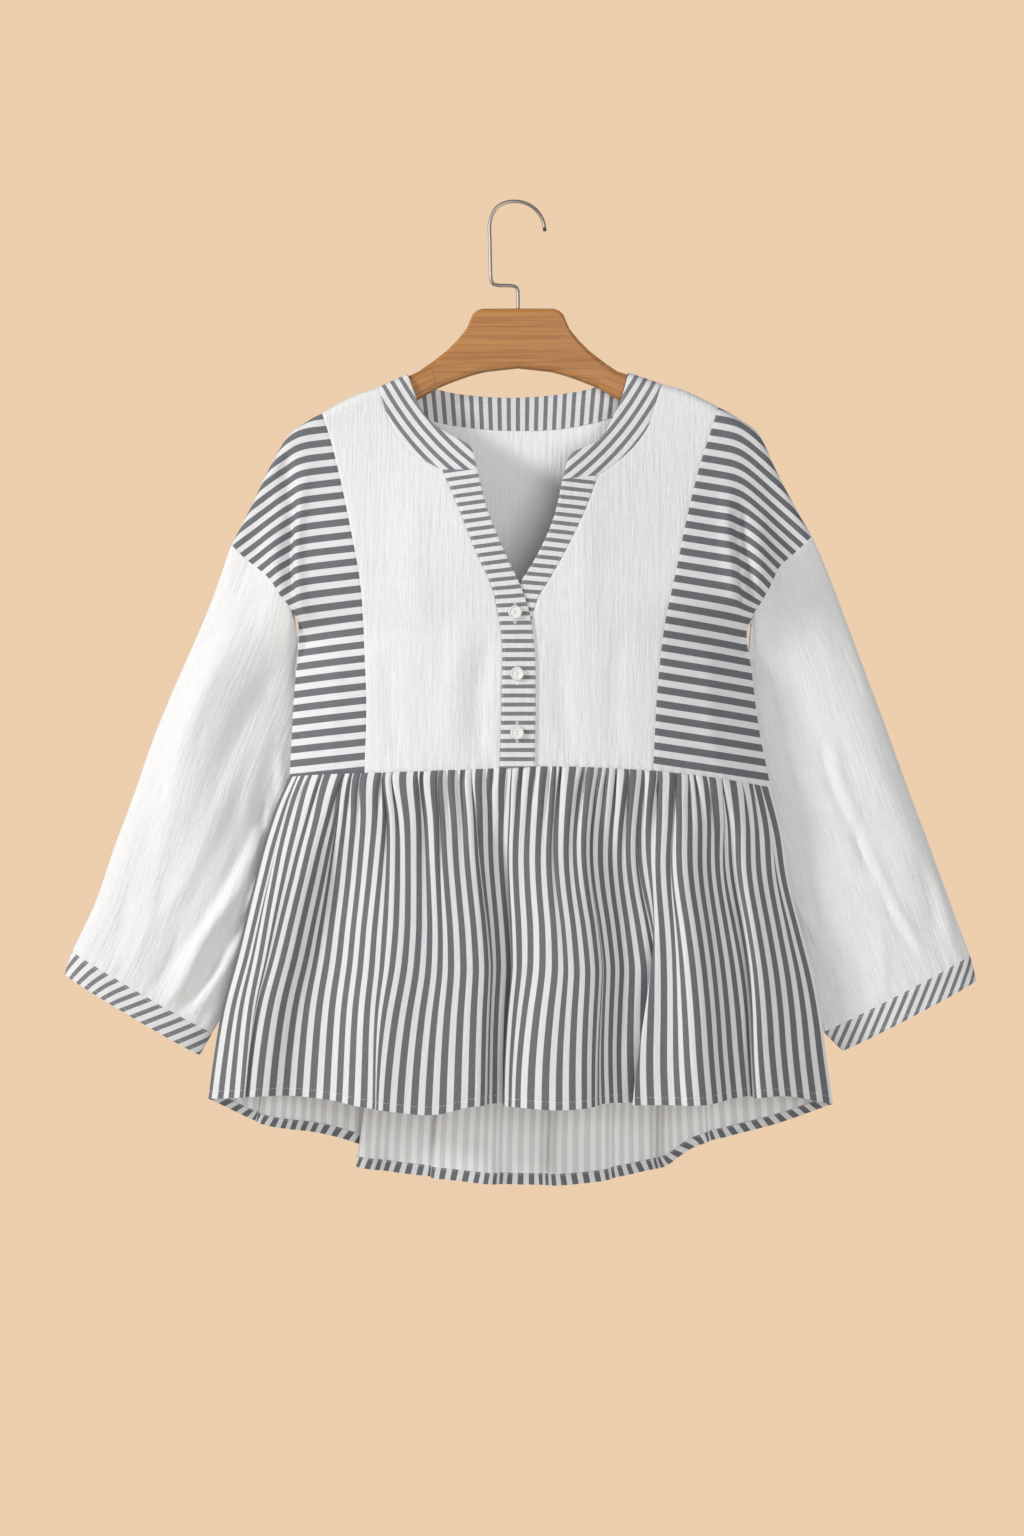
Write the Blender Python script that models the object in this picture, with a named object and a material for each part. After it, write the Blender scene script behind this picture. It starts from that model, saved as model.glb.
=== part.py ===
"""A babydoll blouse on a wooden hanger: each cut and sewn piece is a closed wall of cloth.

Sizes are in millimetres until a mesh is made. The origin is where the hook rests on a rail,
+Z is up and the front faces -Y. Left and right are as seen from the front.
"""

import math

import bmesh
import bpy
import numpy as np
from mathutils import Vector

# Cloth
MM = 0.001
WALL = 1.5
HALF = WALL / 2
GAP = 0.3
LAYER = WALL + GAP

# Body of the blouse, front to back
FRONT_DEPTH = 44.0
BACK_DEPTH = 32.0
FRONT_HEM_DEPTH = 66.0
BACK_HEM_DEPTH = 58.0
RIDGE_RADIUS = 8.6
CAP_RADIUS = 4.8
CAP_START = 195.0
CAP_WIDTH = 45.0
BULGE_START = 8.0
BULGE_HEIGHT = 225.0
SHELL_POWER = 8
BULGE_POWER = 3
FRONT = -1
BACK = 1

# Hanger
WOOD_THICKNESS = 12.0
WOOD_ROUNDING = 4.5
WOOD_DROP = 2.2
WOOD_TIP = ((4, 0.2), (6, 0.4))
WOOD_SECTIONS = 11
WOOD_SIDES = 12
WIRE_RADIUS = 1.65
WIRE_POINTS = 74

# Buttons
BUTTON_RADIUS = 6.35
BUTTON_THICKNESS = 2.4
BUTTON_RIM = 1.3
BUTTON_EDGE = 0.5
BUTTON_DISH = 0.6
BUTTON_SIDES = 16
BUTTON_HOLE_RADIUS = 0.8
BUTTON_HOLE_SPACING = 2.8
BUTTON_HOLE_SIDES = 6
BUTTON_PLACES = ((-2.9, -392.0), (-1.0, -449.0), (-1.0, -504.0))

# Gathers, and the waves that make them uneven: turns across the skirt, phase, share
GATHERS = 46
COLUMNS_PER_GATHER = 4
GATHER_SIZES = ((45, 0, 0.35), (91, 2, 0.2))
GATHER_REACHES = ((61, 1, 0.3),)
COLUMN_DRIFTS = ((31, 0, 0.004), (73, 1, 0.002))
GATHER_FADE = 12

# Soft folds and laps: width at the waist, share of the skirt over which they deepen, and shape
FOLD_TOP = 0.45
FOLD_DEEPENS = 0.5
FOLD_FADE = 10
LAP_SHARPNESS = 1.4
LAP_REACH = 4

# Colours, each as red, green and blue
GAUZE_WHITE = (0.80, 0.80, 0.78)
STRIPE_GREY = (0.52, 0.53, 0.58)
TRIM_GREY = (0.40, 0.42, 0.48)
BUTTON_WHITE = (0.82, 0.80, 0.76)
WOOD_BROWN = (0.45, 0.20, 0.07)
STEEL_GREY = (0.62, 0.60, 0.58)

# Shoulder line, left to right: x, z. Between the neck points it is only a guide for depth
RIDGE = (
    (-272, -325), (-255, -292), (-236, -252), (-217, -220), (-202, -209), (-186, -199.5),
    (-150, -181), (-132, -175), (-105, -163), (0, -125), (105, -161.5), (136, -172),
    (154, -177), (190, -194), (211, -206), (230, -222), (244, -252), (263, -289), (279, -317),
)

# Half width of the body at each height, wide open above the armhole: z, left, right
SIDE = (
    (-545, 217, 240), (-510, 215, 231), (-472, 213, 226), (-445, 210.5, 222),
    (-402, 209, 218.5), (-392, 226, 234), (-380, 255, 262), (-365, 300, 305), (-345, 350, 355),
)

# Waist seam: x, z
WAIST = (
    (-217, -545), (-194, -543.5), (-110, -540.5), (-17, -537), (16, -535.5), (95, -537.5),
    (170, -544), (240, -555),
)

# Seams and edges of the bodice, top to bottom: x, z
SEAM_LEFT = ((-186, -199.5), (-178, -224), (-167, -267), (-157, -313), (-148, -360), (-144, -426),
             (-142, -480), (-144, -541))
SEAM_RIGHT = ((190, -194), (185, -210), (172, -250), (159, -300), (148, -351), (138, -398),
              (131, -454), (126, -540))
OUTER_LEFT = ((-272, -325), (-260, -337), (-246, -348), (-234, -359), (-225, -373), (-215, -386),
              (-209.3, -396), (-209, -415), (-213, -472), (-217, -545))
OUTER_RIGHT = ((279, -317), (266, -330), (256, -338), (247, -347), (239, -363), (231, -378),
               (223, -391), (219, -402), (222, -444), (229, -500), (240, -555))
PLACKET_OUTER = ((-70.5, -257), (-54, -297), (-36, -342), (-26, -363), (-20, -384), (-16, -407),
                 (-15, -473), (-17, -537))
PLACKET_INNER = ((-38.5, -257), (-29, -295), (-12, -337), (5, -375), (10, -391), (15, -426),
                 (16, -473), (15, -535.5))
UNDER_OUTER = ((75, -262), (58, -306), (30, -359), (18, -379), (13, -397), (12, -430), (12, -535.5))
UNDER_INNER = ((42, -266), (33, -304), (16, -342), (2, -365), (-8, -391), (-12, -412),
               (-12.5, -440), (-12.5, -537))
COLLAR_LEFT_OUTER = ((-132, -175), (-123, -204), (-111, -227), (-97, -242), (-83, -250),
                     (-70.5, -257))
COLLAR_LEFT_INNER = ((-105, -163), (-99, -180), (-92, -197), (-83, -209), (-60, -225),
                     (-46, -233), (-38.5, -257))
COLLAR_RIGHT_OUTER = ((136, -172), (129, -194), (123, -213), (110, -232), (96, -246), (75, -262))
COLLAR_RIGHT_INNER = ((105, -161.5), (100, -180), (90, -205), (77, -227), (49, -243), (42, -266))
NECK_EDGE = ((-105, -163), (-75, -176), (-36, -182), (0, -183), (40, -180), (69, -175),
             (105, -161.5))
NECK_SEAM = ((-132, -175), (-112, -192), (-89, -203), (-36, -212.5), (0, -214), (40, -212.5),
             (90, -201.5), (115, -189), (136, -172))

# Columns across a piece, and rows down it, close together where the cloth turns over
PANEL_COLUMNS = 6
BAND_PLACES = (0, 0.5, 1)
TUBE_COLUMNS = 28
COLLAR_DOWNS = (0, 0.02, 0.06, 0.14, 0.26, 0.4, 0.55, 0.7, 0.85, 1)
PLACKET_DOWNS = (0, 0.09, 0.15, 0.2, 0.28, 0.38, 0.47, 0.55, 0.64, 0.76, 0.88, 1)
BACK_DOWNS = (0, 0.006, 0.02, 0.05, 0.1, 0.18, 0.27, 0.34, 0.39, 0.45, 0.6, 0.8, 1)
NECK_HALF = (0, 0.005, 0.02, 0.045, 0.08, 0.13, 0.18, 0.24, 0.31, 0.4)
NECK_PLACES = NECK_HALF + (0.5,) + tuple(1 - place for place in reversed(NECK_HALF))
NECK_DOWNS = (0, 0.5, 1)
SKIRT_FINE_DOWNS = (0, 0.03, 0.1)
SKIRT_DOWNS = (0.22, 0.4, 0.6, 0.8, 1)
SKIRT_LAP_SHARE = 0.04
SLEEVE_DOWNS = (0.004, 0.04, 0.09, 0.16, 0.28, 0.42, 0.56, 0.7, 0.85, 0.9996)
CUFF_DOWNS = (0.01, 0.5, 1)

# Skirt edges, waist to hem: x, z
SKIRT_LEFT = ((-217, -545), (-227, -567), (-240, -605), (-252, -652), (-267, -714), (-281, -766),
              (-289, -813), (-294, -851))
SKIRT_RIGHT = ((240, -555), (250, -595), (257, -643), (270, -695), (282, -742), (288, -775),
               (293, -813), (299, -856))

# Hems, left to right: x, z
FRONT_HEM = ((-294, -851), (-249, -846), (-156, -851.5), (-110, -857), (-91, -859), (-72, -858),
             (-45, -851.5), (2, -853), (39, -854.5), (95, -850.5), (169, -849.5), (224, -845),
             (243, -844), (299, -856))
BACK_HEM = ((-294, -851), (-249, -876.5), (-201, -888), (-172, -896), (-136, -923), (-114, -929.5),
            (-61, -936), (-17, -942), (12, -943), (60, -940), (118, -930.5), (142, -923),
            (166, -905.5), (205, -893), (253, -877), (299, -856))

# Soft folds of the skirt: x at the waist, x at the hem, share of the way down where it starts,
# depth (into the body when positive), half width at the hem
FRONT_FOLDS = (
    (-175, -232, 0.05, 13, 24),
    (-196, -268, 0.15, -7, 17),
    (-122, -120, 0.45, 5, 9),
    (-24, -24, 0.02, 14, 15),
    (62, 76, 0.05, 14, 16),
    (150, 176, 0.25, 5, 12),
    (170, 218, 0.02, 12, 17),
    (200, 262, 0.2, -5, 14),
)
BACK_FOLDS = (
    (-150, -190, 0.1, 11, 22),
    (-60, -75, 0.05, 12, 18),
    (20, 25, 0.05, 10, 15),
    (96, 120, 0.1, 13, 20),
    (175, 215, 0.15, 9, 18),
)

# Folds whose edge laps over the cloth beside it: x at the waist, x at the hem, start, length
# of cloth taken up, half width, step between the layers
FRONT_LAPS = ((130, 118, 0.3, 9, 11, 7),)
BACK_LAPS = ((-120, -146, 0.4, 10, 12, 12),)

# How deep the gathers stand at each distance below the seam: distance, depth
GATHER_DEPTH = ((0, 1.4), (10, 2.8), (30, 2.9), (60, 1.8), (110, 0.6), (160, 0.0))

# Sleeves, armhole to cuff: outer x, outer z, inner x, inner z, y of the middle, thickness
SLEEVE_LEFT = (
    (-272, -325, -211, -401, 1, 26), (-293, -377, -207, -440, 17, 32),
    (-312, -420, -199, -484, 23, 35), (-331, -462, -198, -528, 25, 36),
    (-350, -508, -203, -575, 27, 36), (-369, -562, -216, -628, 28, 35),
    (-388, -613, -233, -680, 28, 34), (-407, -668, -262, -738, 27, 33),
    (-428, -713, -294, -791, 25, 30),
)
SLEEVE_RIGHT = (
    (279, -317, 221, -403, 1, 26), (297, -352, 219, -443, 17, 32),
    (316, -400, 212, -487, 23, 35), (335, -453, 212, -535, 25, 36),
    (354, -502, 220, -583, 27, 36), (373, -553, 233, -632, 28, 35),
    (392, -603, 250, -682, 28, 34), (411, -655, 269, -735, 27, 33),
    (434, -717, 294, -790, 25, 30),
)
CUFF_LEFT = ((-428, -713, -294, -791, 25, 30), (-435, -735, -306, -812, 25, 29))
CUFF_RIGHT = ((434, -717, 294, -790, 25, 30), (440, -741, 312, -808, 25, 29))
ARMHOLE_LEFT = OUTER_LEFT[:6] + ((-211, -401),)
ARMHOLE_RIGHT = OUTER_RIGHT[:7] + ((221, -403),)
SLEEVE_BLEND = 0.16
ARMHOLE_GAP = 0.9
ARMHOLE_DEPTH = 8.0

# Hook, tip to shank, and the wooden hanger's edges: x, z
HOOK = ((25.6, -26.6), (23.8, -17), (19, -8.5), (12, -2.5), (4, 0.8), (-4, 1.65), (-12, 0.4),
        (-19, -3.2), (-24, -9.5), (-26.8, -19), (-26.8, -32), (-26.4, -50), (-26, -66), (-25.4, -73.5),
        (-23.6, -77), (-20, -78), (-12, -78.4), (-5, -78.8), (-1.8, -79.8), (-0.3, -83), (0, -88),
        (0, -100.1))
WOOD_TOP = ((0, -100.4), (34, -100.6), (39, -102.5), (43, -106), (49, -120), (58, -131),
            (68, -141), (81, -151), (93, -159.5), (102, -164.8))
WOOD_ARCH = ((0, -157), (20, -158.4), (40, -162.7), (59, -169), (78, -177), (97, -188), (130, -203),
             (165, -214), (182, -217.5))
WOOD_JOINT_TOP = 84
WOOD_JOINT_FOOT = 76
WOOD_REACH = 184


def smooth(share):
    """Eases from 0 to 1."""
    share = np.clip(share, 0, 1)
    return share * share * (3 - 2 * share)


def smooth_line(place, value, at):
    """Reads a smooth line through the values at these places; its ends hold outside them."""
    slope = np.gradient(value, place)
    k = np.clip(np.searchsorted(place, at, side="right") - 1, 0, len(place) - 2)
    span = place[k + 1] - place[k]
    f = np.clip((at - place[k]) / span, 0, 1)
    start = value[k] * (1 + 2 * f) * (1 - f) ** 2 + slope[k] * span * f * (1 - f) ** 2
    end = value[k + 1] * f * f * (3 - 2 * f) + slope[k + 1] * span * f * f * (f - 1)
    return start + end


def read_table(table, at, column=1):
    """Reads one column of a table whose first column rises or falls."""
    rows = np.array(sorted(table), float)
    return smooth_line(rows[:, 0], rows[:, column], at)


def length(points):
    """Length of a path in x and z."""
    steps = np.diff(np.array(points, float)[:, :2], axis=0)
    return float(np.linalg.norm(steps, axis=1).sum())


def along(points, share):
    """Reads a smooth path through the points at a share of its length.

    Two paths that follow each other are given as a pair, and keep their own points.
    """
    if isinstance(points, list):
        first, second = points
        part = length(first) / (length(first) + length(second))
        share = np.asarray(share, float)
        early = along(first, np.minimum(share / part, 1))
        late = along(second, np.maximum((share - part) / (1 - part), 0))
        return np.where((share < part)[..., None], early, late)
    points = np.array(points, float)
    steps = np.linalg.norm(np.diff(points[:, :2], axis=0), axis=1)
    place = np.concatenate(([0], np.cumsum(steps))) / steps.sum()
    share = np.asarray(share, float)
    return np.stack([smooth_line(place, column, share) for column in points.T], axis=-1)


def ridge_height(x):
    """Height of the middle of the wall along the shoulder."""
    return read_table(RIDGE, x)


def half_width(x, z):
    """Distance from the middle to the body's side edge, on the side where x lies."""
    left = read_table(SIDE, z, 1)
    right = read_table(SIDE, z, 2)
    return np.where(x < 0, left, right)


def lens(x, q, depth):
    """Depth of a body that is flat at its side edges, where q is 1."""
    radius = RIDGE_RADIUS + (CAP_RADIUS - RIDGE_RADIUS) * smooth((abs(x) - CAP_START) / CAP_WIDTH)
    q = np.clip(q, 0, 1)
    return radius * (1 - q**SHELL_POWER), (depth - radius) * (1 - q**BULGE_POWER)


def bodice_depth(x, z, side):
    """Distance from the middle plane to the wall of the bodice."""
    below = np.maximum(ridge_height(x) - z, 0)
    slope = (ridge_height(x + 1) - ridge_height(x - 1)) / 2
    near = below / np.sqrt(1 + slope**2)
    depth = FRONT_DEPTH if side == FRONT else BACK_DEPTH
    shell, bulge = lens(x, abs(x) / half_width(x, z), depth)
    inside = np.clip(near / RIDGE_RADIUS, 0, 1)
    turned = np.sqrt(1 - (1 - inside) ** 2)
    edge = GAP / 2 + HALF * np.clip(near / 4, 0, 1)
    return shell * turned + bulge * smooth((below - BULGE_START) / BULGE_HEIGHT) + edge


def on_bodice(points, side, lift=0):
    """Lays flat points (x, z) on the bodice, lifted off it by whole layers if asked."""
    x, z = points[..., 0], points[..., 1]
    z = np.minimum(z, ridge_height(x))
    return np.stack([x, side * (bodice_depth(x, z, side) + lift), z], axis=-1)


def facing_out(points, side):
    """Outward normals of the bodice, from how its depth changes just below each point."""
    step = 0.02
    x = points[..., 0]
    z = np.minimum(points[..., 2], ridge_height(x)) - 2 * step
    across = bodice_depth(x + step, z, side) - bodice_depth(x - step, z, side)
    up = bodice_depth(x, z + step, side) - bodice_depth(x, z - step, side)
    facing = np.stack([-across, np.full_like(x, 2 * step * side), -up], axis=-1)
    return facing / np.linalg.norm(facing, axis=-1)[..., None]


def on_ridge(points, share):
    """A stretch of the shoulder line between the x of two corner points."""
    x = points[0][0] + (points[1][0] - points[0][0]) * share
    return np.stack([x, ridge_height(x)], axis=-1)


def on_waist(points, share):
    """A stretch of the waist seam between the x of two corner points."""
    x = points[0][0] + (points[1][0] - points[0][0]) * share
    return np.stack([x, read_table(WAIST, x)], axis=-1)


def straight(points, share):
    """A straight line between two corner points."""
    start, end = np.array(points[0], float), np.array(points[1], float)
    return start + (end - start) * share[..., None]


def four_sided(left, right, top, bottom):
    """Fills the space between four edges; top and bottom are given the corner points."""
    corners = [along(left, 0.0), along(right, 0.0), along(left, 1.0), along(right, 1.0)]

    def fill(s, t):
        upper = top((corners[0], corners[1]), s)
        lower = bottom((corners[2], corners[3]), s)
        a, b = along(left, t), along(right, t)
        s, t = s[..., None], t[..., None]
        across = (1 - s) * a + s * b
        down = (1 - t) * upper + t * lower
        twist = (1 - s) * (1 - t) * corners[0] + s * (1 - t) * corners[1]
        twist = twist + (1 - s) * t * corners[2] + s * t * corners[3]
        return across + down - twist

    return fill


def trimmed(fill, s, t, trim):
    """Keeps half a seam's gap free along the edges; trim is left, right, top, bottom in mm."""
    width = np.linalg.norm(fill(np.ones_like(s), t) - fill(np.zeros_like(s), t), axis=-1)
    height = np.linalg.norm(fill(s, np.ones_like(t)) - fill(s, np.zeros_like(t)), axis=-1)
    left, right, top, bottom = (trim_size / size for trim_size, size in
                                zip(trim, (width, width, height, height)))
    return fill(left + s * (1 - left - right), top + t * (1 - top - bottom))


def bodice_panel(left, right, top, bottom, side, trim, lift=0):
    """Surface of one panel of the bodice."""
    fill = four_sided(left, right, top, bottom)

    def surface(u, v):
        return on_bodice(trimmed(fill, u, v, trim), side, lift)

    return surface


def band_panel(upper, lower, side):
    """Surface of a band that runs from shoulder to shoulder round the back of the neck."""

    def surface(u, v):
        a, b = along(upper, u), along(lower, u)
        edge = (GAP / 2) / np.linalg.norm(a - b, axis=-1)
        t = (v * (1 - edge))[..., None]
        return on_bodice(a + (b - a) * t, side)

    return surface


def fold_shift(x, t, folds):
    """Depth that the soft folds add."""
    total = np.zeros_like(x)
    for top, hem, start, depth, width in folds:
        middle = top + (hem - top) * t
        spread = width * (FOLD_TOP + (1 - FOLD_TOP) * t)
        total -= depth * smooth((t - start) / FOLD_DEEPENS) * np.exp(-(((x - middle) / spread) ** 2))
    return total


def lap_shift(x, t, laps):
    """Sideways shift and depth where a fold laps over its neighbour."""
    aside, depth = np.zeros_like(x), np.zeros_like(x)
    for top, hem, start, taken, width, step in laps:
        share = smooth((t - start) / (1 - start))
        near = (x - (top + (hem - top) * t)) / width
        aside -= taken * share * near * np.exp(-(near**2))
        near_edge = np.tanh(near * LAP_SHARPNESS) * np.exp(-((near / LAP_REACH) ** 2))
        depth += step / 2 * share * near_edge
    return aside, depth


def waves(u, table):
    """Adds up waves across the skirt: turns, phase, share."""
    return sum(share * np.sin(turns * u + phase) for turns, phase, share in table)


def gather_wave(u, below):
    """Height of the gathers, uneven from one to the next, and gone where the skirt falls free."""
    size = 1 + waves(u, GATHER_SIZES)
    reach = 1 + waves(u, GATHER_REACHES)
    wave = 0.5 - 0.5 * np.cos(2 * math.pi * GATHERS * u)
    return read_table(GATHER_DEPTH, below / reach) * size * wave


def skirt_panel(side):
    """Surface of the front or back skirt, from the waist seam to the hem."""
    hem = FRONT_HEM if side == FRONT else BACK_HEM
    folds = FRONT_FOLDS if side == FRONT else BACK_FOLDS
    laps = FRONT_LAPS if side == FRONT else BACK_LAPS
    top_depth = FRONT_DEPTH if side == FRONT else BACK_DEPTH
    hem_depth = FRONT_HEM_DEPTH if side == FRONT else BACK_HEM_DEPTH

    def on_hem(points, share):
        x = points[0][0] + (points[1][0] - points[0][0]) * share
        return np.stack([x, read_table(hem, x)], axis=-1)

    fill = four_sided(SKIRT_LEFT, SKIRT_RIGHT, on_waist, on_hem)

    def surface(u, v):
        s = u + np.sin(math.pi * u) * waves(u, COLUMN_DRIFTS)
        points = trimmed(fill, s, v, (0, 0, GAP / 2, 0))
        x, z = points[..., 0], points[..., 1]
        left = -along(SKIRT_LEFT, v)[..., 0]
        right = along(SKIRT_RIGHT, v)[..., 0]
        q = abs(x) / np.where(x < 0, left, right)
        shell, bulge = lens(x, q, top_depth + (hem_depth - top_depth) * v)
        aside, lap = lap_shift(x, v, laps)
        fade = 1 - np.clip(q, 0, 1) ** FOLD_FADE
        depth = shell + bulge + GAP / 2 + HALF
        below = read_table(WAIST, x) - z
        depth = depth + fade * (fold_shift(x, v, folds) - side * lap)
        depth = depth + np.minimum(1, GATHER_FADE * (1 - q)) * gather_wave(u, below)
        depth = np.maximum(depth, GAP / 2 + HALF)
        return np.stack([x + fade * aside, side * depth, z], axis=-1)

    return surface


def sleeve_tube(table, armhole=None):
    """Surface of a sleeve or cuff: across runs once round it, down runs along it."""

    def tube(over, turn, v):
        row = along(table, v)
        x = row[..., 0] + (row[..., 2] - row[..., 0]) * over
        z = row[..., 1] + (row[..., 3] - row[..., 1]) * over
        return np.stack([x, row[..., 4] - turn * row[..., 5] / 2, z], axis=-1)

    def surface(u, v):
        over = (1 - np.cos(2 * math.pi * u)) / 2
        turn = np.sin(2 * math.pi * u)
        if armhole is None:
            return tube(over, turn, v)
        flat = along(armhole, over)
        front = bodice_depth(flat[..., 0], flat[..., 1], FRONT)
        back = bodice_depth(flat[..., 0], flat[..., 1], BACK)
        wedge = ARMHOLE_DEPTH * np.sqrt(abs(turn))
        deep = np.where(turn > 0, -np.maximum(front, wedge), np.maximum(back, wedge))
        deep = deep * np.clip(abs(turn) * 1e4, 0, 1)
        ring = np.stack([flat[..., 0], deep, flat[..., 1]], axis=-1)
        share = 1 - smooth(v / SLEEVE_BLEND)[..., None]
        return tube(over, turn, v) + (ring - tube(over, turn, np.zeros_like(v))) * share

    return surface


def normals(surface, u, v, closed):
    """Unit normals of a skirt or a sleeve, from small steps along it."""
    step = 1e-4
    if closed:
        across = surface(u + step, v) - surface(u - step, v)
    else:
        across = surface(np.minimum(u + step, 1), v) - surface(np.maximum(u - step, 0), v)
    down = surface(u, np.minimum(v + step, 1)) - surface(u, np.maximum(v - step, 0))
    normal = np.cross(across, down)
    return normal / np.linalg.norm(normal, axis=-1)[..., None]


def paint(obj, colour, roughness, metallic=0.0):
    """Gives an object a plain material of its own."""
    material = bpy.data.materials.new(obj.name)
    material.use_nodes = True
    shader = material.node_tree.nodes["Principled BSDF"]
    shader.inputs["Base Color"].default_value = (*colour, 1)
    shader.inputs["Roughness"].default_value = roughness
    shader.inputs["Metallic"].default_value = metallic
    obj.data.materials.append(material)


def add_object(name, data):
    """Links new data to the scene as an object."""
    obj = bpy.data.objects.new(name, data)
    bpy.context.scene.collection.objects.link(obj)
    return obj


def strip(upper, lower, closed):
    """Faces between two rows of points, each a list of (place from 0 to 1, index)."""
    if closed:
        upper, lower = (row + [(1.0, row[0][1])] for row in (upper, lower))
    faces, a, b = [], 0, 0
    while a < len(upper) - 1 or b < len(lower) - 1:
        next_a = upper[a + 1][0] if a < len(upper) - 1 else math.inf
        next_b = lower[b + 1][0] if b < len(lower) - 1 else math.inf
        if next_a == next_b:
            faces.append((upper[a][1], upper[a + 1][1], lower[b + 1][1], lower[b][1]))
            a, b = a + 1, b + 1
        elif next_a < next_b:
            faces.append((upper[a][1], upper[a + 1][1], lower[b][1]))
            a += 1
        else:
            faces.append((upper[a][1], lower[b + 1][1], lower[b][1]))
            b += 1
    return faces


def add_mesh(name, mesh, sharp):
    """Makes an object of a finished mesh; edges over the sharp angle in degrees stay crisp."""
    bmesh.ops.recalc_face_normals(mesh, faces=mesh.faces)
    data = bpy.data.meshes.new(name)
    mesh.to_mesh(data)
    mesh.free()
    data.shade_smooth()
    data.set_sharp_from_angle(angle=math.radians(sharp))
    return add_object(name, data)


def cloth(name, surface, rows, colour, closed=False, side=None):
    """Makes a closed wall on a surface; rows are (down, list of places across).

    A side is given for the bodice, whose pieces share one depth and so one set of normals.
    """
    mesh = bmesh.new()
    sides = []
    for sign in (1, -1):
        made = []
        for down, places in rows:
            u = np.array(places, float)
            v = np.full_like(u, down)
            points = surface(u, v)
            out = normals(surface, u, v, closed) if side is None else facing_out(points, side)
            points = points + sign * HALF * out
            start = len(mesh.verts)
            for point in points:
                mesh.verts.new(point * MM)
            made.append([(place, start + i) for i, place in enumerate(places)])
        sides.append(made)
    mesh.verts.ensure_lookup_table()
    faces = []
    for made in sides:
        for upper, lower in zip(made, made[1:]):
            faces += strip(upper, lower, closed)
    for row in (0, -1):
        faces += strip(sides[0][row], sides[1][row], closed)
    if not closed:
        for end in (0, -1):
            outer = [row[end][1] for row in sides[0]]
            inner = [row[end][1] for row in sides[1]]
            faces += list(zip(outer, outer[1:], inner[1:], inner))
    for face in faces:
        mesh.faces.new([mesh.verts[i] for i in face])
    paint(add_mesh(name, mesh, 50), colour, 0.9)


def panel_rows(downs, columns):
    """Rows of even places across."""
    places = [i / columns for i in range(columns + 1)]
    return [(down, places) for down in downs]


def front_downs(collar, placket):
    """Rows of a front panel, which fall on those of the collar and the placket beside it."""
    part = length(collar) / (length(collar) + length(placket))
    early = [part * down for down in COLLAR_DOWNS]
    late = [part + (1 - part) * down for down in PLACKET_DOWNS[1:]]
    return early + late


def round_rows(downs, columns):
    """Rows of places round a tube, with a little more room at its inner fold."""
    half = columns // 2
    places = [i / columns for i in range(columns) if abs(i - half) != 1]
    return [(down, places) for down in downs]


def skirt_rows(side):
    """Close columns where the gathers are, then every fourth, but close again at a lapped fold."""
    count = GATHERS * COLUMNS_PER_GATHER
    fine = [i / count for i in range(count + 1)]
    laps = FRONT_LAPS if side == FRONT else BACK_LAPS
    rows = [(down, fine) for down in SKIRT_FINE_DOWNS]
    for down in SKIRT_DOWNS:
        middle = laps[0][0] + (laps[0][1] - laps[0][0]) * down
        left = along(SKIRT_LEFT, down)[0]
        right = along(SKIRT_RIGHT, down)[0]
        centre = (middle - left) / (right - left)
        coarse = [place for i, place in enumerate(fine)
                  if i % COLUMNS_PER_GATHER == 0 or abs(place - centre) < SKIRT_LAP_SHARE]
        rows.append((down, coarse))
    return rows


def make_bodice(gauze, stripe):
    """Front and back panels of the bodice."""
    g = GAP / 2
    for name, collar, placket, seam, outer in (
        ("left", COLLAR_LEFT_OUTER, PLACKET_OUTER, SEAM_LEFT, OUTER_LEFT),
        ("right", COLLAR_RIGHT_OUTER, UNDER_OUTER, SEAM_RIGHT, OUTER_RIGHT),
    ):
        rows = panel_rows(front_downs(collar, placket), PANEL_COLUMNS)
        edge = [collar, placket]
        surface = bodice_panel(edge, seam, on_ridge, on_waist, FRONT, (g, g, 0, g))
        cloth("front_centre_" + name, surface, rows, gauze, side=FRONT)
        surface = bodice_panel(seam, outer, on_ridge, on_waist, FRONT, (g, ARMHOLE_GAP, 0, g))
        cloth("front_side_" + name, surface, rows, stripe, side=FRONT)
        surface = bodice_panel(seam, outer, on_ridge, on_waist, BACK, (g, ARMHOLE_GAP, 0, g))
        rows = panel_rows(BACK_DOWNS, PANEL_COLUMNS)
        cloth("back_side_" + name, surface, rows, stripe, side=BACK)
    surface = bodice_panel(SEAM_LEFT, SEAM_RIGHT, back_top, on_waist, BACK, (g, g, 0, g))
    rows = [(down, back_places()) for down in BACK_DOWNS]
    cloth("back_centre", surface, rows, gauze, side=BACK)


def back_top(points, share):
    """Top of the back panel: along both shoulders and round the neck seam."""
    x = points[0][0] + (points[1][0] - points[0][0]) * share
    neck = along(NECK_SEAM, np.linspace(0, 1, 200))
    under = np.interp(x, neck[:, 0], neck[:, 1])
    inside = (x > NECK_SEAM[0][0]) & (x < NECK_SEAM[-1][0])
    return np.stack([x, np.where(inside, under - GAP / 2, ridge_height(x))], axis=-1)


def back_places():
    """Places across the back that fall on those of the neckband above it."""
    start, end = SEAM_LEFT[0][0], SEAM_RIGHT[0][0]
    neck = along(NECK_SEAM, NECK_PLACES)[:, 0]
    left = np.linspace(start, neck[0], 4)[:-1]
    right = np.linspace(neck[-1], end, 4)[1:]
    across = np.concatenate((left, neck, right))
    return [float(place) for place in (across - start) / (end - start)]


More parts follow.
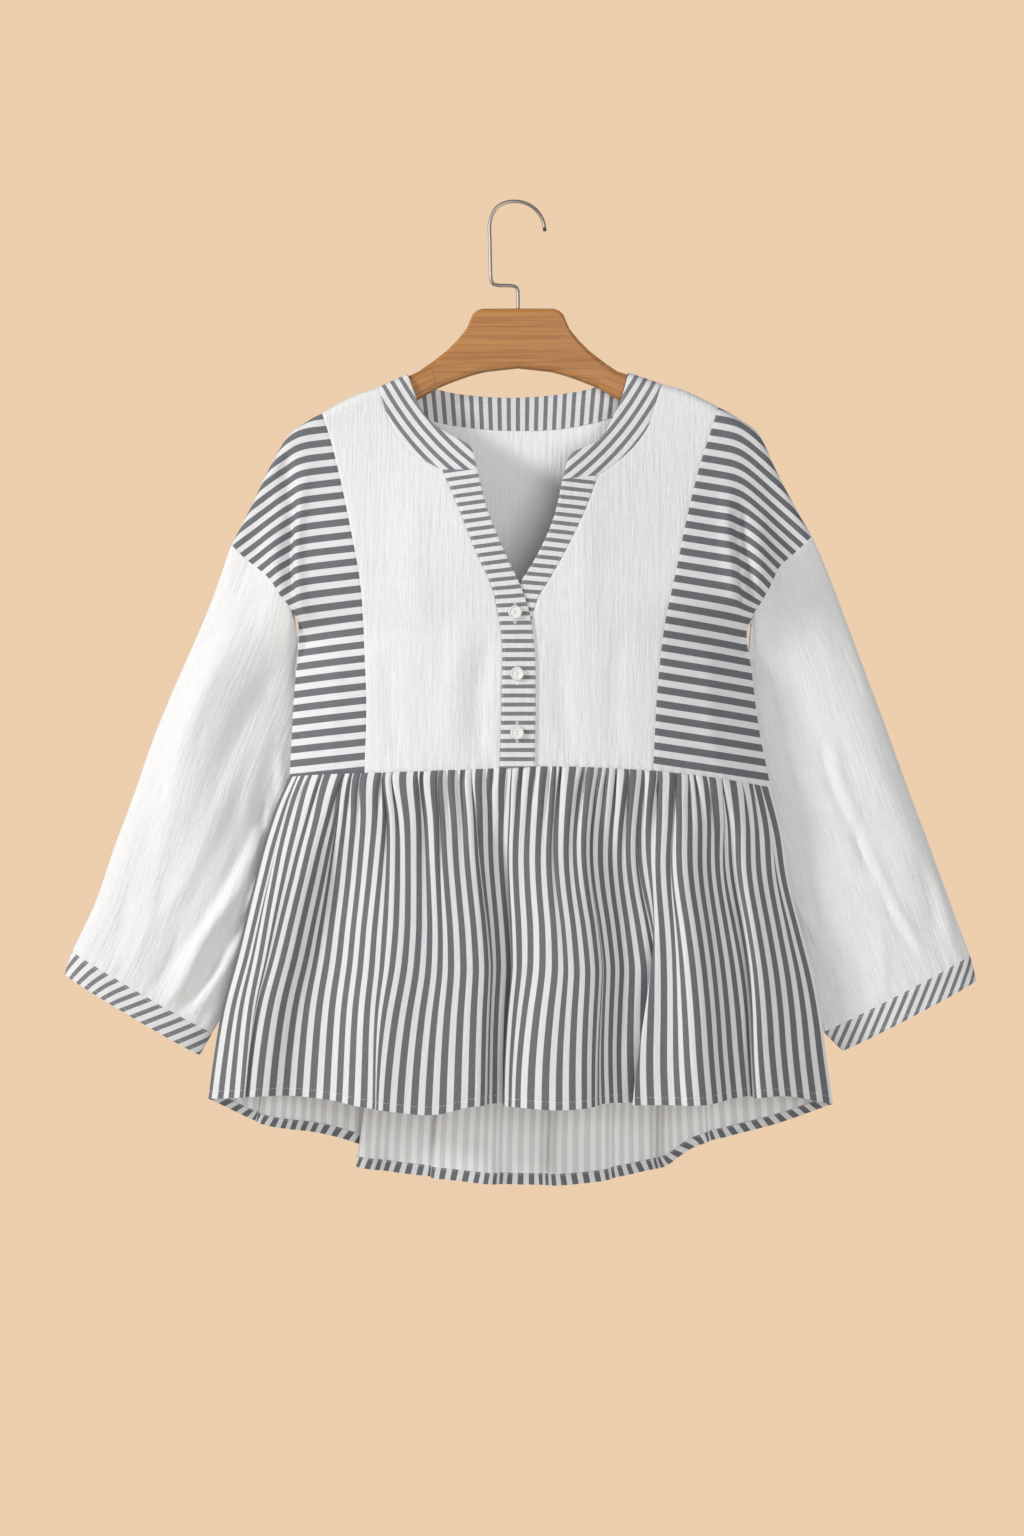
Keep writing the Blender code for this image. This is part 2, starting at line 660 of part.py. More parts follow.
def make_bands(trim):
    """Neckband in three pieces and the two plackets."""
    g = GAP / 2
    for name, inner, outer in (
        ("neckband_front_left", COLLAR_LEFT_INNER, COLLAR_LEFT_OUTER),
        ("neckband_front_right", COLLAR_RIGHT_INNER, COLLAR_RIGHT_OUTER),
    ):
        surface = bodice_panel(inner, outer, on_ridge, straight, FRONT, (0, g, 0, g))
        cloth(name, surface, [(down, BAND_PLACES) for down in COLLAR_DOWNS], trim, side=FRONT)
    surface = band_panel(NECK_EDGE, NECK_SEAM, BACK)
    rows = [(down, NECK_PLACES) for down in NECK_DOWNS]
    cloth("neckband_back", surface, rows, trim, side=BACK)
    for name, outer, inner, lift in (
        ("placket_right", UNDER_OUTER, UNDER_INNER, 0),
        ("placket_left", PLACKET_OUTER, PLACKET_INNER, LAYER),
    ):
        surface = bodice_panel(outer, inner, straight, on_waist, FRONT, (g, 0, g, g), lift)
        cloth(name, surface, [(down, BAND_PLACES) for down in PLACKET_DOWNS], trim, side=FRONT)


def make_skirt(stripe):
    """Front and back skirts."""
    cloth("skirt_front", skirt_panel(FRONT), skirt_rows(FRONT), stripe)
    cloth("skirt_back", skirt_panel(BACK), skirt_rows(BACK), stripe)


def make_sleeves(gauze, trim):
    """Sleeves and cuffs."""
    sleeve_rows = round_rows(SLEEVE_DOWNS, TUBE_COLUMNS)
    cuff_rows = round_rows(CUFF_DOWNS, TUBE_COLUMNS)
    for name, table, armhole, cuff in (
        ("left", SLEEVE_LEFT, ARMHOLE_LEFT, CUFF_LEFT),
        ("right", SLEEVE_RIGHT, ARMHOLE_RIGHT, CUFF_RIGHT),
    ):
        cloth("sleeve_" + name, sleeve_tube(table, armhole), sleeve_rows, gauze, True)
        cloth("cuff_" + name, sleeve_tube(cuff), cuff_rows, trim, True)


def button_profile():
    """Half the button's outline, from the middle of its back to that of its face: radius, level."""
    edge = BUTTON_RADIUS - BUTTON_EDGE
    rim = BUTTON_RADIUS - BUTTON_RIM
    dish = BUTTON_THICKNESS - BUTTON_DISH
    return (
        (0, 0), (edge, 0), (BUTTON_RADIUS, BUTTON_EDGE),
        (BUTTON_RADIUS, BUTTON_THICKNESS - BUTTON_EDGE), (edge, BUTTON_THICKNESS),
        (rim, BUTTON_THICKNESS), (rim - BUTTON_DISH, dish), (0, dish),
    )


def make_button(name, x, z, colour):
    """A round button with a raised rim and two holes, one above the other."""
    mesh = bmesh.new()
    outline = [mesh.verts.new((radius * MM, 0, level * MM)) for radius, level in button_profile()]
    edges = [mesh.edges.new(pair) for pair in zip(outline, outline[1:])]
    bmesh.ops.spin(mesh, geom=outline + edges, axis=(0, 0, 1), angle=2 * math.pi,
                   steps=BUTTON_SIDES, use_merge=True)
    bmesh.ops.remove_doubles(mesh, verts=mesh.verts, dist=0.001 * MM)
    button = add_mesh(name, mesh, 40)
    paint(button, colour, 0.35)
    place = on_bodice(np.array([x, z]), FRONT, LAYER + HALF + GAP)
    button.location = place * MM
    button.rotation_mode = "QUATERNION"
    button.rotation_quaternion = Vector(facing_out(place, FRONT)).to_track_quat("Z", "Y")
    for i, way in enumerate((1, -1)):
        drill = bmesh.new()
        bmesh.ops.create_cone(drill, cap_ends=True, segments=BUTTON_HOLE_SIDES,
                              radius1=BUTTON_HOLE_RADIUS * MM, radius2=BUTTON_HOLE_RADIUS * MM,
                              depth=4 * BUTTON_THICKNESS * MM)
        cutter = add_mesh(f"{name}_drill_{i}", drill, 40)
        cutter.parent = button
        cutter.location = (0, way * BUTTON_HOLE_SPACING / 2 * MM, 0)
        cutter.hide_render = True
        cutter.display_type = "WIRE"
        cut = button.modifiers.new(f"hole_{i}", "BOOLEAN")
        cut.operation = "DIFFERENCE"
        cut.object = cutter


def wood_bar(name, upper, lower, colour):
    """A bar of wood with rounded edges, through sections between an upper and a lower edge."""
    mesh = bmesh.new()
    half = WOOD_THICKNESS / 2
    rings = []
    for top, bottom in zip(np.array(upper, float), np.array(lower, float)):
        middle, reach = (top + bottom) / 2, np.linalg.norm(top - bottom) / 2
        rounding = min(WOOD_ROUNDING, reach * 0.95)
        ring = []
        for i in range(WOOD_SIDES):
            angle = 2 * math.pi * (i + 0.5) / WOOD_SIDES
            corner = math.radians(45 * (i % 3) + 90 * (i // 3))
            y = math.copysign(half - rounding, math.cos(angle)) + rounding * math.cos(corner)
            rise = math.copysign(reach - rounding, math.sin(angle)) + rounding * math.sin(corner)
            x, z = middle + (top - bottom) / (2 * reach) * rise
            ring.append(mesh.verts.new((x * MM, y * MM, z * MM)))
        rings.append(ring)
    for first, second in zip(rings, rings[1:]):
        for i in range(WOOD_SIDES):
            j = (i + 1) % WOOD_SIDES
            mesh.faces.new((first[i], first[j], second[j], second[i]))
    mesh.faces.new(rings[0])
    mesh.faces.new(rings[-1][::-1])
    paint(add_mesh(name, mesh, 50), colour, 0.45)


def make_hanger(wood, steel):
    """Centre block, two arms and a wire hook."""
    edge, foot = WOOD_JOINT_TOP, WOOD_JOINT_FOOT
    top = np.array(WOOD_TOP, float)
    xs = [x for x in top[:, 0] if 0 < x < edge] + [edge - GAP / 2]
    xs = [-x for x in reversed(xs)] + [0] + xs
    upper = [(x, np.interp(abs(x), top[:, 0], top[:, 1])) for x in xs]
    lower = [(x * foot / edge, read_table(WOOD_ARCH, abs(x) * foot / edge)) for x in xs]
    wood_bar("hanger_centre", upper, lower, wood)
    for name, way in (("hanger_arm_right", 1), ("hanger_arm_left", -1)):
        upper, lower = [], []
        for x in np.linspace(edge + GAP / 2, WOOD_REACH, WOOD_SECTIONS):
            z = np.interp(x, top[:, 0], top[:, 1])
            if x > top[-1, 0]:
                z = float(ridge_height(way * x)) - WOOD_DROP
            low = foot + (x - edge) * (WOOD_REACH - foot) / (WOOD_REACH - edge)
            upper.append((way * x, z))
            lower.append((way * low, read_table(WOOD_ARCH, low)))
        for beyond, share in WOOD_TIP:
            high, low = upper[-1][1], lower[-1][1]
            x = way * (WOOD_REACH + beyond)
            upper.append((x, high - 1 - (high - low) * share))
            lower.append((x, low + (high - low) * share / 3))
        wood_bar(name, upper, lower, wood)
    curve = bpy.data.curves.new("hanger_hook", "CURVE")
    curve.dimensions = "3D"
    curve.bevel_depth = WIRE_RADIUS * MM
    curve.bevel_resolution = 2
    curve.use_fill_caps = True
    points = along(HOOK, np.linspace(0, 1, WIRE_POINTS))
    spline = curve.splines.new("POLY")
    spline.points.add(len(points) - 1)
    for point, (x, z) in zip(spline.points, points):
        point.co = (x * MM, 0, z * MM, 1)
    hook = add_object("hanger_hook", curve)
    paint(hook, steel, 0.25, 1.0)


def build():
    """Clears the scene and makes every piece."""
    for obj in list(bpy.data.objects):
        bpy.data.objects.remove(obj)
    make_hanger(WOOD_BROWN, STEEL_GREY)
    make_bodice(GAUZE_WHITE, STRIPE_GREY)
    make_bands(TRIM_GREY)
    make_skirt(STRIPE_GREY)
    make_sleeves(GAUZE_WHITE, TRIM_GREY)
    for number, (x, z) in enumerate(BUTTON_PLACES, 1):
        make_button(f"button_{number}", x, z, BUTTON_WHITE)


build()
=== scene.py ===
"""The blouse on its hanger, dressed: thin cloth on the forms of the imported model.

Lengths are in millimetres until a mesh is made. Left and right are as seen from the front.
"""

import math

import bpy
import numpy as np
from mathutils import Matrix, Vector


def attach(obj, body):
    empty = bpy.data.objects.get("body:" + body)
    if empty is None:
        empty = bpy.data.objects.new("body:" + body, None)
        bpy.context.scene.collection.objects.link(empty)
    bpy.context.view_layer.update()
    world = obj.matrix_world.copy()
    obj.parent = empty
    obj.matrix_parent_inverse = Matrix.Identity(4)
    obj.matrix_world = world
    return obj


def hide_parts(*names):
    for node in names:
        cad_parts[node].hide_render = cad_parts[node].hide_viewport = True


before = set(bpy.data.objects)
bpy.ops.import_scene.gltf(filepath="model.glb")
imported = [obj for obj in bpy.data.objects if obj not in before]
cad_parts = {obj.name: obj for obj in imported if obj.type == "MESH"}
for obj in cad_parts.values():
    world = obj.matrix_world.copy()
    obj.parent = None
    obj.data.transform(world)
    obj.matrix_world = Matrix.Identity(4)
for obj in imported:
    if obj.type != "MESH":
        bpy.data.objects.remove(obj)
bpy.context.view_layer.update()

MM = 0.001
FRONT = -1
BACK = 1
SEED = 7

# Cloth: half its thickness, single and folded, and how far it stands off the form under it
SHEER = 0.3
FOLDED = 0.6
STAND_OFF = 0.9

# Lift of the upper placket over the lower one, and strength of the creases
PLACKET_LIFT = 1.8
CREASE = 1.45

# Colours used more than once
# Inner face of the cloth: paler with fainter stripes like a real wrong side, and lighter than the right side
# as painted light standing in for light shining through the thin cloth
WRONG_SIDE_PAINTED_LIGHT = (0.92, 0.92, 0.915, 1)
WOOD_LINE = (0.20, 0.075, 0.022, 1)

# Stitches: from one to the next, length, radius; and how far a band's stand in from its edge
HEM_STITCH = (2.9, 2.2, 0.19)
BAND_STITCH = (2.6, 2.0, 0.16)
BAND_INSET = 1.6

# Body of the blouse, front to back
FRONT_DEPTH = 44.0
BACK_DEPTH = 32.0
FRONT_HEM_DEPTH = 66.0
BACK_HEM_DEPTH = 58.0
RIDGE_RADIUS = 8.6
CAP_RADIUS = 4.8
CAP_START = 195.0
CAP_WIDTH = 45.0
BULGE_START = 8.0
BULGE_HEIGHT = 225.0

# Stripes: width of one repeat and share of it that is dark
WIDE = 12.8
WIDE_DARK = 0.52
NARROW = 8.45
NARROW_DARK = 0.45

# Side panels, left and right: slope of the stripes, their bend past the armhole and the x where
# it starts, start of the count, repeat as seen
SIDE_STRIPES = ((0.10, 0.62, 209, 224.3, 13.04), (-0.147, 0.72, 211, 218.6, 13.27))

# Skirt: stripes and gathers across it, its width at the waist, how far it falls, its hem
FRONT_STRIPES = 61.5
BACK_STRIPES = 66.0
GATHERS = 47
WAIST_WIDTH = 455
GATHER_FALL = 312
FRONT_FALL = 305
BACK_FALL = 385
HEM_TURN = 10.5
HEM_LINING = 0.55
FRONT_STITCH = 7.0
SKIRT_COLUMNS = 560
GATHERED_PART = 0.24
STEEPEST_HEM = 0.6
HEM_DENT = (0.3, 1.1)
LONG_GATHER_EVERY = 4
LEAST_DENSITY = -0.85

# Buttons and buttonholes: x, z
BUTTON_PLACES = ((-2.9, -392.0), (-1.0, -449.0), (-1.0, -504.0))
BUTTON_LIFT = 2.85
BUTTON_FACE = 1.8
BUTTON_HOLES = 2.8
HALF_SLIT = 9.5

# Shoulder line, left to right: x, z
RIDGE = (
    (-272, -325), (-255, -292), (-236, -252), (-217, -220), (-202, -209), (-186, -199.5),
    (-150, -181), (-132, -175), (-105, -163), (0, -125), (105, -161.5), (136, -172),
    (154, -177), (190, -194), (211, -206), (230, -222), (244, -252), (263, -289), (279, -317),
)

# Half width of the body at each height, wide open above the armhole: z, left, right
SIDE = (
    (-545, 217, 240), (-510, 215, 231), (-472, 213, 226), (-445, 210.5, 222),
    (-402, 209, 218.5), (-392, 226, 234), (-380, 255, 262), (-365, 300, 305), (-345, 350, 355),
)

# Waist seam: x, z
WAIST = (
    (-217, -545), (-194, -543.5), (-110, -540.5), (-17, -537), (16, -535.5), (95, -537.5),
    (170, -544), (240, -555),
)

# Seams and edges of the bodice, top to bottom: x, z
SEAM_LEFT = ((-186, -199.5), (-178, -224), (-167, -267), (-157, -313), (-148, -360), (-144, -426),
             (-142, -480), (-144, -541))
SEAM_RIGHT = ((190, -194), (185, -210), (172, -250), (159, -300), (148, -351), (138, -398),
              (131, -454), (126, -540))
OUTER_LEFT = ((-272, -325), (-260, -337), (-246, -348), (-234, -359), (-225, -373), (-215, -386),
              (-209.3, -396), (-209, -415), (-213, -472), (-217, -545))
OUTER_RIGHT = ((279, -317), (266, -330), (256, -338), (247, -347), (239, -363), (231, -378),
               (223, -391), (219, -402), (222, -444), (229, -500), (240, -555))
PLACKET_OUTER = ((-70.5, -257), (-54, -297), (-36, -342), (-26, -363), (-20, -384), (-16, -407),
                 (-15, -473), (-17, -537))
PLACKET_INNER = ((-38.5, -257), (-29, -295), (-12, -337), (5, -375), (10, -391), (15, -426),
                 (16, -473), (15, -535.5))
UNDER_OUTER = ((75, -262), (58, -306), (30, -359), (18, -379), (13, -397), (12, -430), (12, -535.5))
UNDER_INNER = ((42, -266), (33, -304), (16, -342), (2, -365), (-8, -391), (-12, -412),
               (-12.5, -440), (-12.5, -537))
COLLAR_LEFT_OUTER = ((-132, -175), (-123, -204), (-111, -227), (-97, -242), (-83, -250),
                     (-70.5, -257))
COLLAR_LEFT_INNER = ((-105, -163), (-99, -180), (-92, -197), (-83, -209), (-60, -225),
                     (-46, -233), (-38.5, -257))
COLLAR_RIGHT_OUTER = ((136, -172), (129, -194), (123, -213), (110, -232), (96, -246), (75, -262))
COLLAR_RIGHT_INNER = ((105, -161.5), (100, -180), (90, -205), (77, -227), (49, -243), (42, -266))
NECK_EDGE = ((-105, -163), (-75, -176), (-36, -182), (0, -183), (40, -180), (69, -175),
             (105, -161.5))
NECK_SEAM = ((-132, -175), (-112, -192), (-89, -203), (-36, -212.5), (0, -214), (40, -212.5),
             (90, -201.5), (115, -189), (136, -172))

# Skirt edges, waist to hem: x, z
SKIRT_LEFT = ((-217, -545), (-227, -567), (-240, -605), (-252, -652), (-267, -714), (-281, -766),
              (-289, -813), (-294, -851))
SKIRT_RIGHT = ((240, -555), (250, -595), (257, -643), (270, -695), (282, -742), (288, -775),
               (293, -813), (299, -856))

# Hems, left to right: x, z
FRONT_HEM = ((-294, -851), (-249, -846), (-156, -851.5), (-110, -857), (-91, -859), (-72, -858),
             (-45, -851.5), (2, -853), (39, -854.5), (95, -850.5), (169, -849.5), (224, -845),
             (243, -844), (299, -856))
BACK_HEM_LEFT = ((-294, -851), (-249, -876.5), (-201, -888), (-172, -896), (-146, -905), (-120, -912))
BACK_HEM_RIGHT = ((-165, -921), (-146, -925), (-114, -931), (-61, -937), (-17, -942), (12, -943),
                  (60, -940), (118, -930.5), (142, -923), (166, -905.5), (205, -893), (253, -877),
                  (299, -856))

# How the stripes spread along the gathered waist: stripe at the hem, share of the waist's width
FRONT_SPREAD = ((0, 0), (19, 0.259), (33.5, 0.569), (40, 0.669), (61.5, 1))
BACK_SPREAD = ((0, 0), (16, 0.22), (50, 0.78), (66, 1))

# Walls of the skirt's folds: stripe at the waist, stripe at the hem, share of the way down where
# it starts, stripes of cloth hidden in it at the hem, half width in stripes, step back in mm
FRONT_WALLS = (
    (4.2, 4.0, 0.12, 1.9, 0.9, 5),
    (7.4, 7.2, 0.00, 0.3, 1.9, 30),
    (12.3, 12.6, 0.04, 0.3, 1.3, -20),
    (14.5, 15.6, 0.45, 1.4, 0.9, -4),
    (17.5, 17.5, 0.45, 0.1, 1.4, 4),
    (25.0, 24.9, 0.02, 1.5, 1.3, 25),
    (27.8, 27.6, 0.00, 1.3, 0.5, -14),
    (30.4, 30.2, 0.00, 0.0, 1.8, -14),
    (29.6, 29.2, 0.45, 0.9, 0.9, 3),
    (37.5, 36.7, 0.02, 1.9, 2.0, 24),
    (40.4, 39.6, 0.00, 0.6, 0.9, -5),
    (46.6, 42.7, 0.15, 3.0, 0.6, -20),
    (48.4, 47.4, 0.00, 0.0, 1.3, -15),
    (51.4, 50.8, 0.00, 0.9, 1.7, 27),
    (56.0, 54.4, 0.03, 1.9, 1.2, -27),
    (58.5, 57.6, 0.30, 0.3, 1.3, 3),
)
BACK_WALLS = (
    (6.0, 5.0, 0.15, 1.6, 1.1, 10),
    (10.5, 10.5, 0.10, 0.6, 1.5, -10),
    (18.4, 16.4, 0.35, 2.1, 0.55, 11),
    (20.0, 19.2, 0.10, 0.6, 1.2, -10),
    (25.0, 24.6, 0.05, 1.0, 0.6, 10),
    (31.0, 31.5, 0.05, 1.0, 1.2, -11),
    (38.0, 37.0, 0.05, 1.2, 1.3, 12),
    (43.0, 43.5, 0.08, 1.0, 1.1, -12),
    (50.0, 49.0, 0.10, 1.4, 1.3, 11),
    (55.0, 55.0, 0.06, 1.2, 1.0, -11),
)
BACK_LAP = 16.4

# Depth of the gathers at each distance below the seam: distance, depth
GATHER_DEPTH = ((0, 2.4), (5, 5.6), (16, 7.2), (40, 6.2), (80, 4.2), (140, 2.2), (220, 0.5))

# Sleeves, armhole to cuff: outer x, outer z, inner x, inner z, y of the middle, thickness
SLEEVE_LEFT = (
    (-272, -325, -211, -401, 1, 26), (-293, -377, -207, -440, 17, 32),
    (-312, -420, -199, -484, 23, 35), (-331, -462, -198, -528, 25, 36),
    (-350, -508, -203, -575, 27, 36), (-369, -562, -216, -628, 28, 35),
    (-388, -613, -233, -680, 28, 34), (-407, -668, -262, -738, 27, 33),
    (-428, -713, -294, -791, 25, 30),
)
SLEEVE_RIGHT = (
    (279, -317, 221, -403, 1, 26), (297, -352, 219, -443, 17, 32),
    (316, -400, 212, -487, 23, 35), (335, -453, 212, -535, 25, 36),
    (354, -502, 220, -583, 27, 36), (373, -553, 233, -632, 28, 35),
    (392, -603, 250, -682, 28, 34), (411, -655, 269, -735, 27, 33),
    (434, -717, 294, -790, 25, 30),
)
CUFF_LEFT = ((-428, -713, -294, -791, 25, 30), (-435, -735, -306, -812, 25, 29))
CUFF_RIGHT = ((434, -717, 294, -790, 25, 30), (440, -741, 312, -808, 25, 29))
ARMHOLE_LEFT = OUTER_LEFT[:6] + ((-211, -401),)
ARMHOLE_RIGHT = OUTER_RIGHT[:7] + ((221, -403),)
SLEEVE_BLEND = 0.16
SLEEVE_COLUMNS = 150
WEDGE = 8

# Creases on the sleeves, from end to end: x, z, x, z, height (a trough when negative), half width
SLEEVE_CREASES = (
    (-276, -400, -324, -640, 3.4, 26), (-214, -430, -232, -650, -10.0, 44),
    (-250, -640, -330, -757, 2.8, 9), (-236, -655, -300, -740, -2.6, 8),
    (-226, -600, -262, -690, 2.2, 9), (-292, -450, -345, -640, 1.4, 10),
    (248, -420, 290, -640, -2.6, 20), (322, -400, 400, -690, 4.0, 26),
    (289, -510, 320, -596, -2.0, 4), (320, -596, 344, -644, -2.6, 3.6),
    (344, -644, 377, -710, -2.2, 3.4), (300, -700, 320, -733, -1.6, 3.6),
    (-322, -722, -222, -550, 2.6, 7), (-338, -735, -262, -610, -2.0, 6),
    (-300, -715, -232, -600, -2.2, 5), (-352, -700, -262, -520, 1.6, 9),
    (-310, -770, -262, -690, 2.2, 6), (-322, -772, -285, -715, -1.8, 5),
    (-336, -765, -300, -700, 1.8, 5), (-350, -755, -322, -690, -1.4, 6),
    (-372, -735, -345, -640, 1.4, 7), (-392, -725, -372, -650, -1.0, 7),
    (-230, -480, -262, -600, 1.6, 9), (-222, -430, -290, -560, -1.6, 10),
    (-255, -400, -330, -540, 1.2, 12), (-280, -380, -350, -560, -1.0, 12),
    (-248, -560, -230, -640, -1.4, 5), (-226, -520, -214, -600, 1.2, 5),
    (297, -512, 330, -600, 1.8, 7), (330, -600, 386, -712, 2.2, 6), (268, -668, 296, -710, 1.8, 6),
    (262, -460, 300, -560, -1.4, 10), (285, -410, 345, -560, 1.2, 12),
    (400, -700, 380, -620, -1.2, 7), (416, -718, 396, -640, 1.0, 7),
    (330, -765, 318, -700, -1.2, 5), (350, -755, 342, -690, 1.2, 6),
)

# Creases on the bodice, in the same columns
BODICE_CREASES = (
    (-219, -235, -213, -300, -3.4, 7), (-214, -290, -213, -392, -6.0, 6),
    (-202, -262, -203, -392, 2.6, 6), (-236, -300, -222, -372, 1.6, 9),
    (209, -290, 213, -345, -4.4, 6), (213, -340, 219, -392, -6.0, 6),
    (199, -270, 205, -388, 1.8, 7), (229, -300, 231, -372, 2.2, 9),
    (-28, -415, -36, -530, -1.6, 9), (-48, -400, -62, -530, 1.2, 12),
    (40, -420, 52, -532, -1.2, 10), (70, -300, 64, -430, 1.0, 14),
    (-96, -280, -88, -420, 1.0, 14), (-118, -420, -112, -535, -0.9, 9),
    (98, -400, 92, -535, -0.9, 9), (-165, -420, -172, -535, 0.9, 8), (178, -430, 190, -545, 0.9, 9),
)


def smooth(share):
    """Eases from 0 to 1."""
    share = np.clip(share, 0, 1)
    return share * share * (3 - 2 * share)


def smooth_line(place, value, at):
    """Reads a smooth line through the values at these places; its ends hold outside them."""
    slope = np.gradient(value, place)
    k = np.clip(np.searchsorted(place, at, side="right") - 1, 0, len(place) - 2)
    span = place[k + 1] - place[k]
    f = np.clip((at - place[k]) / span, 0, 1)
    start = value[k] * (1 + 2 * f) * (1 - f) ** 2 + slope[k] * span * f * (1 - f) ** 2
    end = value[k + 1] * f * f * (3 - 2 * f) + slope[k + 1] * span * f * f * (f - 1)
    return start + end


def read_table(table, at, column=1):
    """Reads one column of a table whose first column rises or falls."""
    rows = np.array(sorted(table), float)
    return smooth_line(rows[:, 0], rows[:, column], at)


def gaps(points, axis=0):
    """Distances between neighbours along a path or a grid of points."""
    return np.linalg.norm(np.diff(points, axis=axis), axis=-1)


def unit(vector):
    """The vector at length 1."""
    return vector / max(np.linalg.norm(vector), 1e-6)


def length(points):
    """Length of a path in x and z."""
    return float(gaps(np.array(points, float)[:, :2]).sum())


def along(points, share):
    """Reads a smooth path through the points at a share of its length.

    Two paths that follow each other are given as a pair, and keep their own points.
    """
    if isinstance(points, list):
        first, second = points
        part = length(first) / (length(first) + length(second))
        share = np.asarray(share, float)
        early = along(first, np.minimum(share / part, 1))
        late = along(second, np.maximum((share - part) / (1 - part), 0))
        return np.where((share < part)[..., None], early, late)
    points = np.array(points, float)
    steps = gaps(points[:, :2])
    place = np.concatenate(([0], np.cumsum(steps))) / steps.sum()
    share = np.asarray(share, float)
    return np.stack([smooth_line(place, column, share) for column in points.T], axis=-1)


def ridge_height(x):
    """Height of the cloth along the shoulder."""
    return read_table(RIDGE, x)


def half_width(x, z):
    """Distance from the middle to the body's side edge, on the side where x lies."""
    return np.where(x < 0, read_table(SIDE, z, 1), read_table(SIDE, z, 2))


def lens(x, q, depth):
    """Depth of a body that is flat at its side edges, where q is 1."""
    radius = RIDGE_RADIUS + (CAP_RADIUS - RIDGE_RADIUS) * smooth((abs(x) - CAP_START) / CAP_WIDTH)
    q = np.clip(q, 0, 1)
    return radius * (1 - q**8), (depth - radius) * (1 - q**3)


def bodice_depth(x, z, side):
    """Distance from the middle plane to the cloth of the bodice."""
    below = np.maximum(ridge_height(x) - z, 0)
    slope = (ridge_height(x + 1) - ridge_height(x - 1)) / 2
    near = below / np.sqrt(1 + slope**2)
    depth = FRONT_DEPTH if side == FRONT else BACK_DEPTH
    across = abs(x) / half_width(x, z)
    shell, bulge = lens(x, across, depth)
    inside = np.clip(near / RIDGE_RADIUS, 0, 1)
    turned = np.sqrt(1 - (1 - inside) ** 2)
    edge = STAND_OFF * np.clip(near / 4, 0, 1) * (1 - 0.8 * np.clip(across, 0, 1) ** 24)
    return shell * turned + bulge * smooth((below - BULGE_START) / BULGE_HEIGHT) + edge


def on_bodice(points, side, lift=0):
    """Lays flat points (x, z) on the bodice, lifted off it if asked."""
    x, z = points[..., 0], points[..., 1]
    z = np.minimum(z, ridge_height(x))
    return np.stack([x, side * (bodice_depth(x, z, side) + lift), z], axis=-1)


def between(points, share):
    """The x at a share of the way between two corner points."""
    return points[0][0] + (points[1][0] - points[0][0]) * share


def on_ridge(points, share):
    """A stretch of the shoulder line between the x of two corner points."""
    x = between(points, share)
    return np.stack([x, ridge_height(x)], axis=-1)


def on_waist(points, share):
    """A stretch of the waist seam between the x of two corner points."""
    x = between(points, share)
    return np.stack([x, read_table(WAIST, x)], axis=-1)


def straight(points, share):
    """A straight line between two corner points."""
    start, end = np.array(points[0], float), np.array(points[1], float)
    return start + (end - start) * share[..., None]


def back_top(points, share):
    """Top of the back panel: along both shoulders and round the neck seam."""
    x = between(points, share)
    neck = along(NECK_SEAM, np.linspace(0, 1, 200))
    under = np.interp(x, neck[:, 0], neck[:, 1])
    inside = (x > NECK_SEAM[0][0]) & (x < NECK_SEAM[-1][0])
    return np.stack([x, np.where(inside, under, ridge_height(x))], axis=-1)


def four_sided(left, right, top, bottom):
    """Fills the space between four edges; top and bottom are given the corner points."""
    corners = [along(left, 0.0), along(right, 0.0), along(left, 1.0), along(right, 1.0)]

    def fill(s, t):
        upper = top((corners[0], corners[1]), s)
        lower = bottom((corners[2], corners[3]), s)
        a, b = along(left, t), along(right, t)
        s, t = s[..., None], t[..., None]
        across = (1 - s) * a + s * b
        down = (1 - t) * upper + t * lower
        twist = (1 - s) * (1 - t) * corners[0] + s * (1 - t) * corners[1]
        twist = twist + (1 - s) * t * corners[2] + s * t * corners[3]
        return across + down - twist

    return fill


def normals_of(points, closed):
    """Unit normals of a grid of points."""
    if closed:
        across = np.roll(points, -1, axis=1) - np.roll(points, 1, axis=1)
    else:
        across = np.gradient(points, axis=1)
    down = np.gradient(points, axis=0)
    normal = np.cross(across, down)
    size = np.linalg.norm(normal, axis=-1)[..., None]
    return normal / np.maximum(size, 1e-9)


def facing(points, closed, side):
    """Normals that point out of the garment, and whether they run against the grid."""
    normal = normals_of(points, closed)
    if closed:
        out = points - points.mean(axis=1, keepdims=True)
    else:
        out = np.array([0.0, side, 0.0])
    against = float((normal * out).sum()) < 0
    return (-normal if against else normal), against


def crease_relief(points, table, side=FRONT):
    """Height that creases add at each point; on the back they are the mirrored ones."""
    x, z = points[..., 0], points[..., 2]
    total = np.zeros_like(x)
    for x1, z1, x2, z2, height, width in table:
        if side == BACK:
            x1, x2 = x1 * 0.98, x2 * 1.01
            z1, z2, height = z1 - 14, z2 + 9, -height
        along_x, along_z = x2 - x1, z2 - z1
        size = along_x**2 + along_z**2
        place = ((x - x1) * along_x + (z - z1) * along_z) / size
        off = ((x - x1) * along_z - (z - z1) * along_x) / math.sqrt(size)
        bow = 0.04 * math.sqrt(size) * np.sin(math.pi * np.clip(place, 0, 1))
        ends = smooth((place + 0.12) / 0.4) * smooth((1.12 - place) / 0.4)
        total += CREASE * height * ends * np.exp(-(((off - bow) / width) ** 2))
    return total


def edge_dip(distance, depth=0.5, width=1.3):
    """A seam pulls the cloth in a little along its edge."""
    return -depth * np.exp(-((distance / width) ** 2))


def add_object(name, data):
    """Links new data to the scene as an object."""
    obj = bpy.data.objects.new(name, data)
    bpy.context.scene.collection.objects.link(obj)
    return obj


